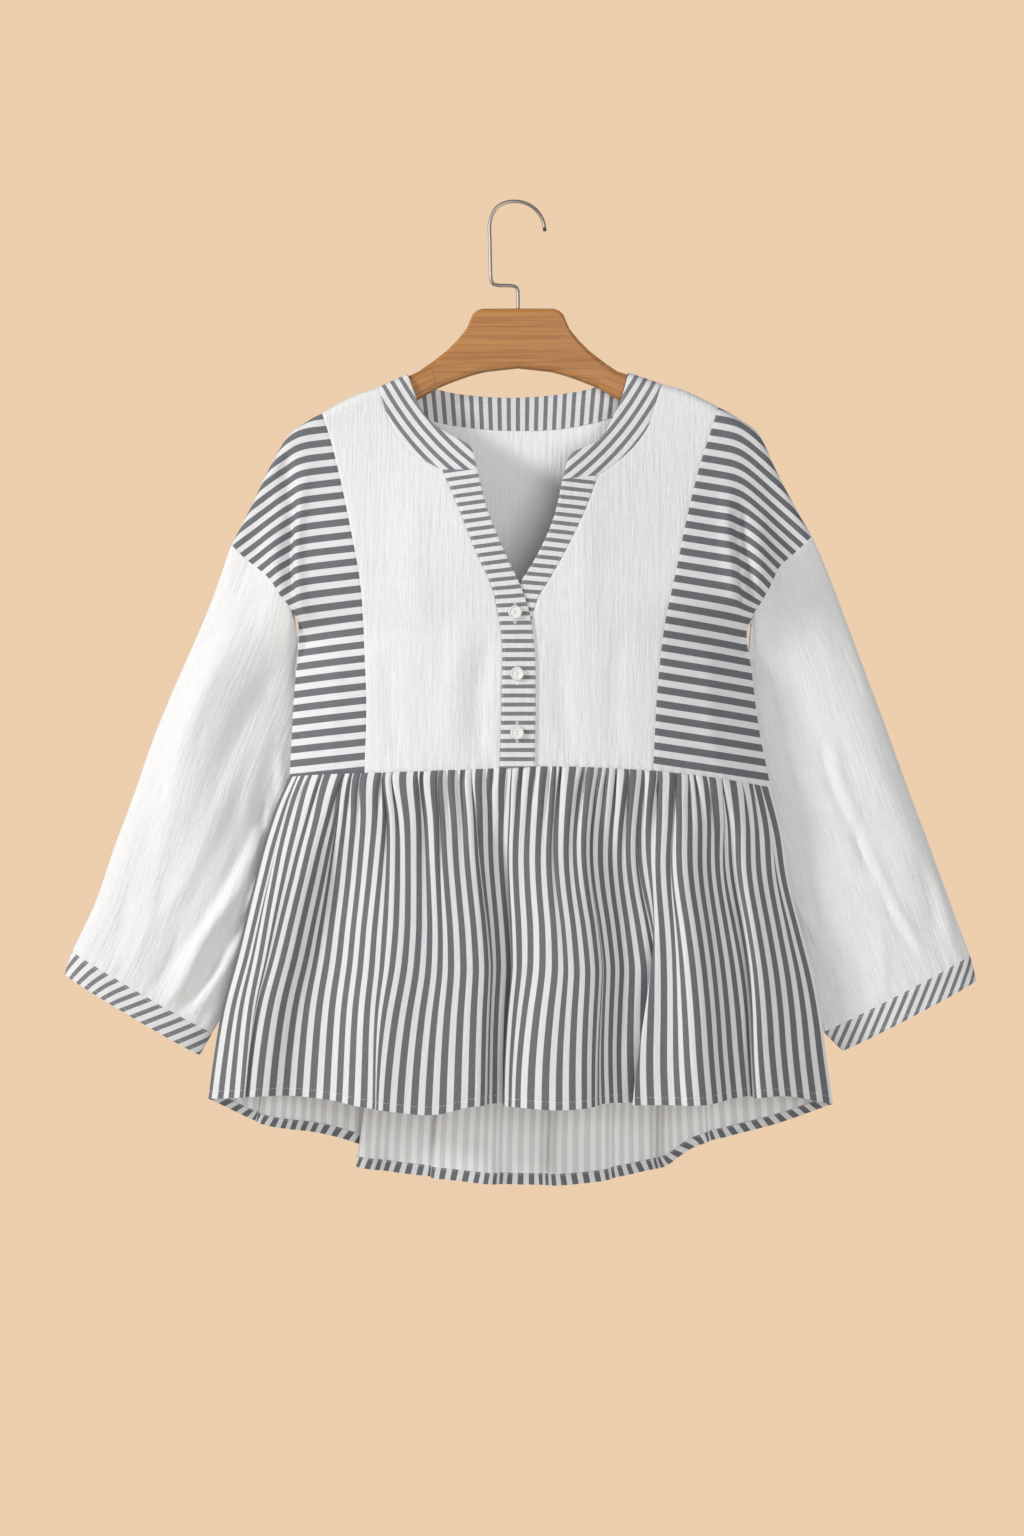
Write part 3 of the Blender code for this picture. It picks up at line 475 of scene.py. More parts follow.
def grid_faces(index, turned):
    """Four-sided faces over a grid of points, given by their numbers."""
    a, b, c, d = index[:-1, :-1], index[:-1, 1:], index[1:, 1:], index[1:, :-1]
    faces = np.stack([a, b, c, d], axis=-1).reshape(-1, 4)
    return faces[:, ::-1] if turned else faces


def rim_faces(outer, inner, turned):
    """Faces between the two sides of the cloth along one edge."""
    faces = np.stack([outer[:-1], inner[:-1], inner[1:], outer[1:]], axis=-1)
    return faces[:, ::-1] if turned else faces


def with_face(cloth, face):
    """Adds a third coordinate to the cloth's own: 1 on its right side, 0 on its wrong side."""
    return np.concatenate((cloth, np.full(cloth.shape[:2] + (1,), float(face))), axis=-1)


def shell(name, points, cloth, material, half=SHEER, closed=False, side=FRONT, inside=None, lining=None):
    """Thin cloth over a grid of points, with its own coordinates in mm for the material.

    inside gives the inner side's coordinates where they differ, lining how much thicker it is.
    """
    rows, columns = points.shape[:2]
    normal, against = facing(points, closed, side)
    outer = points + normal * half
    inner = points - normal * (half + (0 if lining is None else lining[..., None]))
    if inside is None:
        inside = with_face(cloth, 0)
    verts = np.concatenate((outer.reshape(-1, 3), inner.reshape(-1, 3))) * MM
    coords = np.concatenate((with_face(cloth, 1).reshape(-1, 3), inside.reshape(-1, 3)))
    count = rows * columns
    index = np.arange(count).reshape(rows, columns)
    if closed:
        index = np.concatenate((index, index[:, :1]), axis=1)
    faces = [grid_faces(index, against), grid_faces(index + count, not against)]
    edges = [(index[0], against), (index[-1], not against)]
    if not closed:
        edges += [(index[:, 0], not against), (index[:, -1], against)]
    faces += [rim_faces(edge, edge + count, turned) for edge, turned in edges]
    faces = np.concatenate(faces)
    data = bpy.data.meshes.new(name)
    data.vertices.add(len(verts))
    data.vertices.foreach_set("co", verts.ravel())
    data.loops.add(faces.size)
    data.loops.foreach_set("vertex_index", faces.ravel())
    data.polygons.add(len(faces))
    data.polygons.foreach_set("loop_start", np.arange(0, faces.size, 4))
    data.update(calc_edges=True)
    data.validate()
    attribute = data.attributes.new("cloth", "FLOAT_VECTOR", "POINT")
    attribute.data.foreach_set("vector", coords.ravel())
    data.shade_smooth()
    data.set_sharp_from_angle(angle=math.radians(62))
    data.materials.append(material)
    return add_object(name, data)


def dress(obj, node):
    """Hangs the piece with the blouse and hides the part of the model that it stands for."""
    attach(obj, "root")
    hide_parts(node)


def dense_top(count):
    """Places down a piece, close together where it turns over the shoulder."""
    t = np.linspace(0, 1, count)
    return 1.05 * t * t / (t + 0.05)


def bodice_grid(left, right, top, bottom, side, lift, columns, rows, dense=True):
    """Grid of points on one piece of the bodice, with its places across and down."""
    v = dense_top(rows) if dense else np.linspace(0, 1, rows)
    u, v = np.meshgrid(np.linspace(0, 1, columns), v)
    flat = four_sided(left, right, top, bottom)(u, v)
    return on_bodice(flat, side, lift), u, v


def raise_grid(points, relief, side, closed=False):
    """Moves the points out of the garment by the relief."""
    normal, _ = facing(points, closed, side)
    return points + normal * relief[..., None]


def edge_distance(points, u, v):
    """Distance in mm to the left, right and bottom edges of a grid."""
    width = gaps(points, 1).sum(axis=1)[:, None]
    height = gaps(points).sum(axis=0)[None, :]
    return u * width, (1 - u) * width, (1 - v) * height


def soft_bend(distance, softness=5.0):
    """Zero before a fold line, and the distance past it afterwards."""
    return softness * np.log1p(np.exp(np.clip(distance / softness, -30, 30)))


def side_stripes(points):
    """Stripe coordinate of the side panels, which bend where the sleeve cap turns away."""
    x, z = points[..., 0], points[..., 2]
    upper = smooth((z + 402) / 30)
    climb = np.clip((z - ridge_height(x)) / RIDGE_RADIUS + 1, 0, 1)
    z = z + RIDGE_RADIUS * (np.arcsin(climb) - climb)
    left, right = (
        (-z + slope * x - bend * upper * soft_bend(abs(x) - start) - first) * WIDE / repeat
        for slope, bend, start, first, repeat in SIDE_STRIPES)
    return np.stack([np.where(x < 0, left, right), x], axis=-1)


def waist_pucker(points, bottom, seed):
    """Short puckers that the gathered skirt pulls into the panel above it."""
    x = points[..., 0]
    wave = np.sin(x * 0.62 + seed) + 0.6 * np.sin(x * 1.07 + 2 * seed) + 0.4 * np.sin(x * 0.31)
    return 0.32 * wave * np.exp(-bottom / 9)


def gauze_panel(mats, name, left, right, top, side, columns, rows, seed):
    """A white panel of the bodice, with its creases and the pull of its seams."""
    points, u, v = bodice_grid(left, right, top, on_waist, side, 0, columns, rows)
    a, b, c = edge_distance(points, u, v)
    relief = crease_relief(points, BODICE_CREASES, side) + edge_dip(a) + edge_dip(b) + edge_dip(c)
    points = raise_grid(points, relief + waist_pucker(points, c, seed), side)
    return shell(name + "_cloth", points, points[..., (0, 2)], mats["gauze"], side=side)


def make_bodice(mats):
    """Front and back panels of the bodice."""
    for name, collar, placket, seam, outer, centre_area, side_area in (
        ("left", COLLAR_LEFT_OUTER, PLACKET_OUTER, SEAM_LEFT, OUTER_LEFT, 0.040, 0.0285),
        ("right", COLLAR_RIGHT_OUTER, UNDER_OUTER, SEAM_RIGHT, OUTER_RIGHT, 0.038, 0.034),
    ):
        obj = gauze_panel(mats, "front_centre_" + name, [collar, placket], seam, on_ridge, FRONT, 66, 130, 1)
        dress(obj, "front_centre_" + name)
        for side, word, rows in ((FRONT, "front", 130), (BACK, "back", 110)):
            points, u, v = bodice_grid(seam, outer, on_ridge, on_waist, side, 0, 44, rows)
            a, b, c = edge_distance(points, u, v)
            relief = crease_relief(points, BODICE_CREASES, side) + edge_dip(a) + edge_dip(c)
            relief = relief * smooth(b / 14) + edge_dip(b, 0.3)
            points = raise_grid(points, relief + waist_pucker(points, c, 2), side)
            obj = shell(f"{word}_side_{name}_cloth", points, side_stripes(points), mats["wide"], side=side)
            dress(obj, f"{word}_side_{name}")
    obj = gauze_panel(mats, "back_centre", SEAM_LEFT, SEAM_RIGHT, back_top, BACK, 150, 110, 3)
    dress(obj, "back_centre")


def band_edges(points, u, v):
    """Rounds both long edges of a folded band."""
    a, b, _ = edge_distance(points, u, v)
    return edge_dip(a, 0.45, 0.9) + edge_dip(b, 0.45, 0.9)


def band(mats, name, points, cloth, **how):
    """A folded band of the narrow stripe, whose right side shows on both faces."""
    return shell(name + "_cloth", points, cloth, mats["narrow"], FOLDED, inside=with_face(cloth, 1), **how)


def make_bands(mats, sewing):
    """Neckband in three pieces and the two plackets."""
    for name, inner, outer, way in (
        ("neckband_front_left", COLLAR_LEFT_INNER, COLLAR_LEFT_OUTER, 1),
        ("neckband_front_right", COLLAR_RIGHT_INNER, COLLAR_RIGHT_OUTER, -1),
    ):
        points, u, v = bodice_grid(inner, outer, on_ridge, straight, FRONT, 0, 22, 70)
        points = raise_grid(points, band_edges(points, u, v), FRONT)
        edge_lines(sewing, points)
        x, z = points[..., 0] * way, points[..., 2]
        # The stripes lean across the band, a little less with each step towards its lower end.
        turning = x - z - 60
        lean = 0.7 * (x + z) + 0.183 * turning - 0.00084 * turning**2
        cloth = np.stack([lean * NARROW / 8.9, 0.643 * x - 0.766 * z], axis=-1)
        obj = band(mats, name, points, cloth)
        dress(obj, name)
    u, v = np.meshgrid(np.linspace(0, 1, 120), np.linspace(0, 1, 16))
    a, b = along(NECK_EDGE, u), along(NECK_SEAM, u)
    points = on_bodice(a + (b - a) * v[..., None], BACK)
    points = raise_grid(points, band_edges(points.swapaxes(0, 1), v.T, u.T).T, BACK)
    x = points[..., 0]
    cloth = np.stack([x * (1 - 0.0012 * (points[..., 2] + 190)) * NARROW / 8.86, points[..., 2]], axis=-1)
    obj = band(mats, "neckband_back", points, cloth, side=BACK)
    dress(obj, "neckband_back")
    for name, outer, inner, lift, lean, start, area in (
        ("placket_right", UNDER_OUTER, UNDER_INNER, 0, -0.10, 262.0, 0.0074),
        ("placket_left", PLACKET_OUTER, PLACKET_INNER, PLACKET_LIFT, 0.13, 258.1, 0.0086),
    ):
        points, u, v = bodice_grid(outer, inner, straight, on_waist, FRONT, lift, 22, 130, False)
        points = raise_grid(points, band_edges(points, u, v), FRONT)
        edge_lines(sewing, points)
        x, z = points[..., 0], points[..., 2]
        bent = lean * smooth((z + 420) / 80)
        cloth = np.stack([-z + bent * x - start, x], axis=-1)
        obj = band(mats, name, points, cloth)
        dress(obj, name)


def gather_places(side, stripes):
    """Where each gather stands, how much cloth it hides, how far it reaches, widens and drifts."""
    rng = np.random.default_rng(SEED + side)
    spread = np.array(FRONT_SPREAD if side == FRONT else BACK_SPREAD, float)
    share = (np.arange(GATHERS) + 0.5 + rng.uniform(-0.33, 0.33, GATHERS)) / GATHERS
    middle = np.interp(share, spread[:, 1], spread[:, 0])
    bounds = np.concatenate(([0], (middle[1:] + middle[:-1]) / 2, [stripes]))
    widths = np.diff(np.interp(bounds, spread[:, 0], spread[:, 1])) * WAIST_WIDTH / WIDE
    hidden = np.maximum(np.diff(bounds) - widths, 0.12) * rng.uniform(0.8, 1.2, GATHERS)
    long_ones = np.arange(GATHERS) % LONG_GATHER_EVERY == 1
    hidden *= np.where(long_ones, 2.0, 0.68) * rng.uniform(0.8, 1.2, GATHERS)
    reach = np.where(long_ones, rng.uniform(60, 170, GATHERS), 24 + 60 * rng.random(GATHERS) ** 2)
    widening = np.where(long_ones, 0.0012, 0.0042)
    drift = rng.uniform(-0.7, 0.7, GATHERS)
    return zip(middle, hidden, reach, widening, drift)


def skirt_grid(side, columns, downs):
    """Grid of points on a skirt whose columns run along the stripes."""
    front = side == FRONT
    walls = FRONT_WALLS if front else BACK_WALLS
    stripes = FRONT_STRIPES if front else BACK_STRIPES
    top_depth = FRONT_DEPTH if front else BACK_DEPTH
    hem_depth = FRONT_HEM_DEPTH if front else BACK_HEM_DEPTH
    n, v = np.meshgrid(np.linspace(0, stripes, columns), downs)
    below = v * GATHER_FALL
    density = np.ones_like(n)
    relief = np.zeros_like(n)
    for top, foot, start, hidden, width, step in walls:
        middle = top + (foot - top) * v
        share = smooth((v - start) / (1 - start)) ** 0.8
        near = (n - middle) / width
        density -= hidden / (width * math.sqrt(math.pi)) * share * np.exp(-(near**2))
        grown = smooth((v - start * 0.5) / 0.45)
        relief -= step * grown * 0.5 * (1 + np.tanh(near * 1.3))
    depth = read_table(GATHER_DEPTH, below)
    for middle, hidden, reach, widening, drift in gather_places(side, stripes):
        centre = middle + drift * np.clip(below / 150, 0, 1.5)
        width = max(0.2, hidden / 2.5) + widening * below
        fade = np.exp(-((below / (1.6 * reach)) ** 1.5))
        bell = np.exp(-(((n - centre) / width) ** 2))
        density -= hidden / (width * math.sqrt(math.pi)) * fade * bell
        relief -= depth * (0.55 + 0.7 * hidden) * fade * bell
    relief += 0.55 * depth * np.exp(-below / 70)
    density = np.maximum(density, LEAST_DENSITY)
    steps = (density[:, 1:] + density[:, :-1]) / 2
    q = np.concatenate((np.zeros((len(downs), 1)), np.cumsum(steps, axis=1)), axis=1)
    q = q / q[:, -1:]

    def on_hem(points, share):
        x = between(points, share)
        if front:
            return np.stack([x, read_table(FRONT_HEM, x)], axis=-1)
        past = 0.5 + 0.5 * np.tanh((n - BACK_LAP) / 0.3)
        z = read_table(BACK_HEM_LEFT, x) * (1 - past) + read_table(BACK_HEM_RIGHT, x) * past
        return np.stack([x, z], axis=-1)

    flat = four_sided(SKIRT_LEFT, SKIRT_RIGHT, on_waist, on_hem)(np.clip(q, 0, 1), v)
    x, z = flat[..., 0], flat[..., 1]
    left = -along(SKIRT_LEFT, v)[..., 0]
    right = along(SKIRT_RIGHT, v)[..., 0]
    edge = abs(x) / np.where(x < 0, left, right)
    shell_part, bulge = lens(x, edge, top_depth + (hem_depth - top_depth) * v)
    relief = relief * (1 - np.clip(edge, 0, 1) ** 10) * np.minimum(1, 10 * (1 - edge))
    relief += STAND_OFF * (1 - np.clip(edge, 0, 1) ** 10)
    y = np.maximum(shell_part + bulge + relief, SHEER)
    return np.stack([x, side * y, z], axis=-1), n, v


class Sewing:
    """Collects stitches, each a short thread with rounded ends, into one mesh."""

    SIDES = 5
    RINGS = ((-0.5, 0.35), (-0.36, 0.9), (0.0, 1.0), (0.36, 0.9), (0.5, 0.35))

    def __init__(self):
        self.verts = []
        self.faces = []

    def stitch(self, middle, way, up, size, radius, dive=0.35):
        """Adds one stitch; its ends dive into the cloth."""
        side = np.cross(way, up)
        start = len(self.verts)
        for place, swell in self.RINGS:
            centre = middle + way * place * size - up * dive * radius * (2 * abs(place)) ** 3 * 3
            for i in range(self.SIDES):
                angle = 2 * math.pi * i / self.SIDES
                round_about = side * math.cos(angle) + up * math.sin(angle)
                self.verts.append(centre + round_about * radius * swell)
        for ring in range(len(self.RINGS) - 1):
            for i in range(self.SIDES):
                a, b = start + ring * self.SIDES + i, start + ring * self.SIDES + (i + 1) % self.SIDES
                self.faces.append((a, b, b + self.SIDES, a + self.SIDES))
        self.faces.append(tuple(start + i for i in reversed(range(self.SIDES))))
        last = start + (len(self.RINGS) - 1) * self.SIDES
        self.faces.append(tuple(last + i for i in range(self.SIDES)))

    def line(self, path, normal, stitch, lift):
        """Adds a row of running stitches along a path on the cloth."""
        pitch, size, radius = stitch
        path, normal = np.asarray(path), np.asarray(normal)
        place = np.concatenate(([0], np.cumsum(gaps(path))))
        for at in np.arange(pitch / 2, place[-1] - pitch / 4, pitch):
            point, ahead, up = (
                np.array([np.interp(at + extra, place, column) for column in what.T])
                for what, extra in ((path, 0), (path, 0.5), (normal, 0)))
            way = unit(ahead - point)
            up = unit(up - way * up.dot(way))
            self.stitch(point + up * lift, way, up, size, radius)

    def finish(self, name, material):
        """Makes the mesh and lets it hang with the blouse."""
        data = bpy.data.meshes.new(name)
        data.from_pydata((np.array(self.verts) * MM).tolist(), [], self.faces)
        data.shade_smooth()
        data.materials.append(material)
        obj = add_object(name, data)
        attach(obj, "root")


def row_line(sewing, points, side, row, half, closed=False):
    """Stitches along one row of a grid, on the side of the cloth that shows."""
    normal, _ = facing(points, closed, side)
    path = points[row]
    up = normal[row]
    if closed:
        path, up = np.concatenate((path, path[:1])), np.concatenate((up, up[:1]))
    sewing.line(path, up, HEM_STITCH, half)


def edge_lines(sewing, points):
    """Stitches down both long edges of a folded band in front."""
    normal, _ = facing(points, False, FRONT)
    across = gaps(points, 1).sum(axis=1)
    for share in (BAND_INSET / across, 1 - BAND_INSET / across):
        place = np.clip(share, 0, 1) * (points.shape[1] - 1)
        low = np.minimum(place.astype(int), points.shape[1] - 2)
        rest = (place - low)[:, None]
        rows = np.arange(points.shape[0])
        path = points[rows, low] * (1 - rest) + points[rows, low + 1] * rest
        sewing.line(path[1:-1], normal[rows, low][1:-1], BAND_STITCH, FOLDED)


def make_skirt(mats, sewing):
    """Front and back skirts, with their hems turned up inside."""
    for side, name, area, seam in ((FRONT, "skirt_front", 0.246, "front_centre_left_cloth"),
                                   (BACK, "skirt_back", 0.31, "back_centre_cloth")):
        top = np.linspace(0, GATHERED_PART, 26)[:-1]
        turn = HEM_TURN / (FRONT_FALL if side == FRONT else BACK_FALL)
        middle = np.linspace(GATHERED_PART, 1 - turn, 44)
        foot = 1 - turn + turn * np.array([0.02, 0.12, 0.24, 0.34, 0.44, 0.6, 0.78, 0.93, 1])
        downs = np.concatenate((top, middle, foot))
        points, n, v = skirt_grid(side, SKIRT_COLUMNS, downs)
        down = np.concatenate((np.zeros((1, n.shape[1])), np.cumsum(gaps(points), axis=0)))
        above = down[-1:] - down
        cloth = np.stack([n * WIDE, down], axis=-1)
        edge = points[-1:]
        slope = np.gradient(edge[..., 2], axis=1) / np.maximum(np.gradient(edge[..., 0], axis=1), 0.3)
        slope = np.clip(slope, -STEEPEST_HEM, STEEPEST_HEM)
        lean = slope / np.sqrt(1 + slope**2)
        turned = v > 1 - turn + 0.0001
        inner = np.where(turned, n * WIDE + 2 * above * lean, n * WIDE)
        inside = np.stack([inner, down, turned.astype(float)], axis=-1)
        seam_height = FRONT_STITCH if side == FRONT else HEM_TURN - 1
        sewn = int(np.argmin(abs(above.mean(axis=1) - seam_height)))
        pulled_in = HEM_DENT[0] * np.exp(-((above - above[sewn]) / HEM_DENT[1]) ** 2)
        points = points - facing(points, False, side)[0] * pulled_in[..., None]
        row_line(sewing, points, side, sewn, SHEER)
        if side == BACK:
            normal, _ = facing(points, False, side)
            sewing.line(points[sewn], -normal[sewn], HEM_STITCH, SHEER + HEM_LINING)
        lining = np.where(turned, HEM_LINING, 0.0)
        obj = shell(name + "_cloth", points, cloth, mats["wide"], side=side, inside=inside, lining=lining)
        dress(obj, name)


def tube_grid(table, armhole, columns, downs):
    """Grid of points round a sleeve or a cuff."""
    u, v = np.meshgrid(np.arange(columns) / columns, downs)
    over = (1 - np.cos(2 * math.pi * u)) / 2
    turn = np.sin(2 * math.pi * u)

    def tube(place):
        row = along(table, place)
        x = row[..., 0] + (row[..., 2] - row[..., 0]) * over
        z = row[..., 1] + (row[..., 3] - row[..., 1]) * over
        return np.stack([x, row[..., 4] - turn * row[..., 5] / 2, z], axis=-1)

    points = tube(v)
    if armhole is not None:
        flat = along(armhole, over)
        front = bodice_depth(flat[..., 0], flat[..., 1], FRONT)
        back = bodice_depth(flat[..., 0], flat[..., 1], BACK)
        wedge = WEDGE * np.sqrt(abs(turn))
        deep = np.where(turn > 0, -np.maximum(front, wedge), np.maximum(back, wedge))
        deep = deep * np.clip(abs(turn) * 1e4, 0, 1)
        ring = np.stack([flat[..., 0], deep, flat[..., 1]], axis=-1)
        points = points + (ring - tube(np.zeros_like(v))) * (1 - smooth(v / SLEEVE_BLEND)[..., None])
    return points, v, turn


def round_coords(points, v):
    """Distance round and down a tube, measured both ways from its outer edge."""
    steps = np.linalg.norm(points - np.roll(points, 1, axis=1), axis=-1)
    steps[:, 0] = 0
    around = np.cumsum(steps, axis=1)
    half = points.shape[1] // 2
    total = around[:, -1:] + np.linalg.norm(points[:, :1] - points[:, -1:], axis=-1)
    around = np.where(np.arange(points.shape[1]) <= half, around, around - total)
    down = np.concatenate(([0], np.cumsum(gaps(points).mean(axis=1))))[:, None] * np.ones_like(v)
    return around, down


def make_sleeves(mats, sewing):
    """Sleeves and cuffs."""
    for name, table, armhole, cuff in (
        ("left", SLEEVE_LEFT, ARMHOLE_LEFT, CUFF_LEFT),
        ("right", SLEEVE_RIGHT, ARMHOLE_RIGHT, CUFF_RIGHT),
    ):
        downs = np.concatenate((np.linspace(0, 0.05, 8)[:-1], np.linspace(0.05, 1, 120)))
        points, v, turn = tube_grid(table, armhole, SLEEVE_COLUMNS, downs)
        front = crease_relief(points, SLEEVE_CREASES)
        back = crease_relief(points, SLEEVE_CREASES, BACK)
        flatten = np.clip(abs(turn) * 2.5, 0, 1)
        relief = np.where(turn > 0, front, back) * flatten
        around, down = round_coords(points, v)
        ease = 0.35 * np.sin(around * 0.55 + 0.8 * np.sin(down * 0.03)) * np.exp(-(down[-1:] - down) / 26)
        relief = relief + ease * flatten + 0.25 * np.sin(around * 0.21 + down * 0.012) * flatten
        relief = relief * smooth(v / 0.03) + edge_dip(down, 0.4) + edge_dip(down[-1:] - down, 0.4)
        points = raise_grid(points, relief, FRONT, True)
        cloth = np.stack([around, down], axis=-1)
        obj = shell(f"sleeve_{name}_cloth", points, cloth, mats["gauze"], closed=True)
        dress(obj, "sleeve_" + name)
        points, v, _ = tube_grid(cuff, None, SLEEVE_COLUMNS, np.linspace(0, 1, 14))
        around, down = round_coords(points, v)
        relief = edge_dip(down, 0.5) + edge_dip(down[-1:] - down, 0.4)
        points = raise_grid(points, relief, FRONT, True)
        for row in (1, -3):
            row_line(sewing, points, FRONT, row, FOLDED, True)
        near = np.clip(around, 0, None)
        if name == "left":
            leaning = 0.5 + 0.5 * smooth(near / 70)
            turns = around / 12.25 + 0.5 * (1 - np.exp(-near / 30)) + down * leaning / 12.0
        else:
            turns = around / 12.3 - 0.93 * down / 12.3
        cloth = np.stack([turns * NARROW, 0.7 * around - 0.7 * down], axis=-1)
        obj = band(mats, "cuff_" + name, points, cloth, closed=True)
        dress(obj, "cuff_" + name)


def front_depth(x, z):
    """Depth of the front of the bodice at one place."""
    return float(bodice_depth(np.array(float(x)), np.array(float(z)), FRONT))


def button_facing(x, z):
    """Outward normal of the front of the bodice at one place."""
    slopes = (front_depth(x - 1, z) - front_depth(x + 1, z), front_depth(x, z - 1) - front_depth(x, z + 1))
    return unit(np.array([slopes[0], -2.0, slopes[1]]))


def on_placket(point):
    """The same place, moved to the face of the placket."""
    return np.array([point[0], -(front_depth(point[0], point[2]) + PLACKET_LIFT + FOLDED), point[2]])


def sew_buttons(sewing):
    """Thread through each button's holes, and the buttonhole behind it."""
    for x, z in BUTTON_PLACES:
        out = button_facing(x, z)
        base = np.array([x, -front_depth(x, z), z])
        down = unit(np.array([0, 0, -1.0]) - out * (-out[2]))
        across = np.cross(down, out)
        face = base + out * (BUTTON_LIFT + BUTTON_FACE)
        for shift in (-0.32, 0.0, 0.32):
            sewing.stitch(face + across * shift + out * 0.22, down, out, BUTTON_HOLES + 1.3, 0.2, 0.9)
        for side in (-1, 1):
            for place in np.arange(-HALF_SLIT, HALF_SLIT + 0.1, 0.5):
                middle = on_placket(base + down * place + across * side * 0.85)
                sewing.stitch(middle, across, out, 1.5, 0.22)
        for end in (-HALF_SLIT - 0.4, HALF_SLIT + 0.4):
            middle = on_placket(base + down * end)
            for step in (-0.35, 0.0, 0.35):
                sewing.stitch(middle + down * step, across, out, 3.2, 0.24)


class Nodes:
    """Small helper that writes the nodes of a material, or of the world."""

    def __init__(self, name, blocks=bpy.data.materials):
        self.made = blocks.new(name)
        self.made.use_nodes = True
        self.tree = self.made.node_tree

    def add(self, kind, values=(), **settings):
        """Adds a node with these values or links in its sockets, and gives its outputs."""
        node = self.tree.nodes.new(kind)
        for key, value in settings.items():
            setattr(node, key, value)
        for key, value in dict(values).items():
            self.wire(value, node.inputs[key])
        return node.outputs

    def wire(self, value, socket):
        if isinstance(value, bpy.types.NodeSocket):
            self.tree.links.new(value, socket)
        else:
            socket.default_value = value

    def math(self, kind, a, b=0.0, c=0.0):
        return self.add("ShaderNodeMath", enumerate((a, b, c)), operation=kind)[0]

    def range(self, value, low, high, to_low=0.0, to_high=1.0):
        numbers = enumerate((value, low, high, to_low, to_high))
        return self.add("ShaderNodeMapRange", numbers, interpolation_type="SMOOTHSTEP")[0]

    def mix(self, share, a, b):
        return self.add("ShaderNodeMix", {0: share, 6: a, 7: b}, data_type="RGBA")[2]

    def place(self):
        return self.add("ShaderNodeTexCoord")["Object"]

    def split(self, vector):
        return self.add("ShaderNodeSeparateXYZ", {0: vector})

    def surface(self, **values):
        """Sets or links the shader's sockets; an underscore stands for a space in their names."""
        sockets = self.tree.nodes["Principled BSDF"].inputs
        for name, value in values.items():
            self.wire(value, sockets[name.replace("_", " ")])

    def noise(self, vector, scale, detail=2.0, shift=(0, 0, 0)):
        place = self.add("ShaderNodeMapping", {"Vector": vector, "Scale": scale, "Location": shift})[0]
        return self.add("ShaderNodeTexNoise", {"Vector": place, "Scale": 1.0, "Detail": detail})["Fac"]

    def bump(self, height, distance, strength, below=None):
        values = {"Distance": distance, "Strength": strength, "Height": height}
        if below is not None:
            values["Normal"] = below
        return self.add("ShaderNodeBump", values)[0]


def weave(nodes, across, down, pitch):
    """Height of a plain weave, thread over thread."""
    one = nodes.math("SINE", nodes.math("MULTIPLY", across, 2 * math.pi / pitch))
    two = nodes.math("SINE", nodes.math("MULTIPLY", down, 2 * math.pi / pitch))
    return nodes.math("MULTIPLY", one, two)


def shade(colour, share):
    """A colour made darker or lighter by a share, with alpha."""
    return tuple(share * c for c in colour) + (1,)


def cloth_material(name, pale, crinkle, repeat=None, dark=None, dark_share=None):
    """Crinkled cotton gauze, plain or with woven stripes."""
    nodes = Nodes(name)
    vector = nodes.add("ShaderNodeAttribute", attribute_name="cloth")["Vector"]
    across, down, face = nodes.split(vector)
    lengthwise = (0.05, 0.8, 0) if name == "narrow_trim" else (0.8, 0.05, 0)
    fine = nodes.noise(vector, lengthwise, 3.0)
    threads = nodes.noise(vector, tuple(3.2 * size for size in lengthwise), 2.0, (4, 9, 0))
    cross = nodes.noise(vector, (lengthwise[1] * 1.6, lengthwise[0] * 1.6, 0), 2.0, (2, 5, 0))
    broad = nodes.noise(vector, tuple(0.3 * size for size in lengthwise), 2.0, (5, 1, 0))
    patch = nodes.noise(vector, (0.03, 0.02, 0), 2.0, (7, 3, 0))
    # The white follows the fine crinkle noise that also makes the bump: painted shade in the crinkle's
    # hollows and painted light on its crests, which also show as faint lengthwise streaks
    white = nodes.mix(nodes.range(fine, 0.3, 0.7), shade(pale, 0.96), shade(pale, 1.04))
    white = nodes.mix(nodes.math("MULTIPLY", patch, 0.25), white, shade(pale, 0.93))
    # The inner face takes the paler wrong-side colour; its extra brightness is painted light that stands in
    # for light coming through the gauze
    colour, inner_colour_painted_light = white, WRONG_SIDE_PAINTED_LIGHT
    if repeat:
        wobble = nodes.math("MULTIPLY_ADD", cross, 0.5, -0.25)
        place = nodes.math("ADD", across, wobble)
        turn = nodes.math("FRACT", nodes.math("MULTIPLY_ADD", place, 1 / repeat, 0.5))
        away = nodes.math("ABSOLUTE", nodes.math("SUBTRACT", turn, 0.5))
        soft = 0.16 / repeat
        stripe = nodes.range(away, dark_share / 2 - soft, dark_share / 2 + soft, 1.0, 0.0)
        yarn = nodes.mix(nodes.range(threads, 0.3, 0.7), shade(dark, 0.86), shade(dark, 1.12))
        colour = nodes.mix(stripe, white, yarn)
        inner_colour_painted_light = nodes.mix(nodes.math("MULTIPLY", stripe, 0.24), WRONG_SIDE_PAINTED_LIGHT, yarn)
    colour = nodes.mix(nodes.range(face, 0.4, 0.6), inner_colour_painted_light, colour)
    first = nodes.bump(fine, 0.0007, crinkle, nodes.bump(broad, 0.0012, crinkle))
    second = nodes.bump(cross, 0.0005 if repeat else 0.0009, crinkle * 0.6, first)
    third = nodes.bump(threads, 0.0003, 0.4, second)
    last = nodes.bump(weave(nodes, across, down, 0.62), 0.00008, 0.5, third)
    nodes.surface(Base_Color=colour, Roughness=0.92, Specular_IOR_Level=0.2, Sheen_Weight=0.12,
                  Sheen_Roughness=0.5, Normal=last)
    return nodes.made


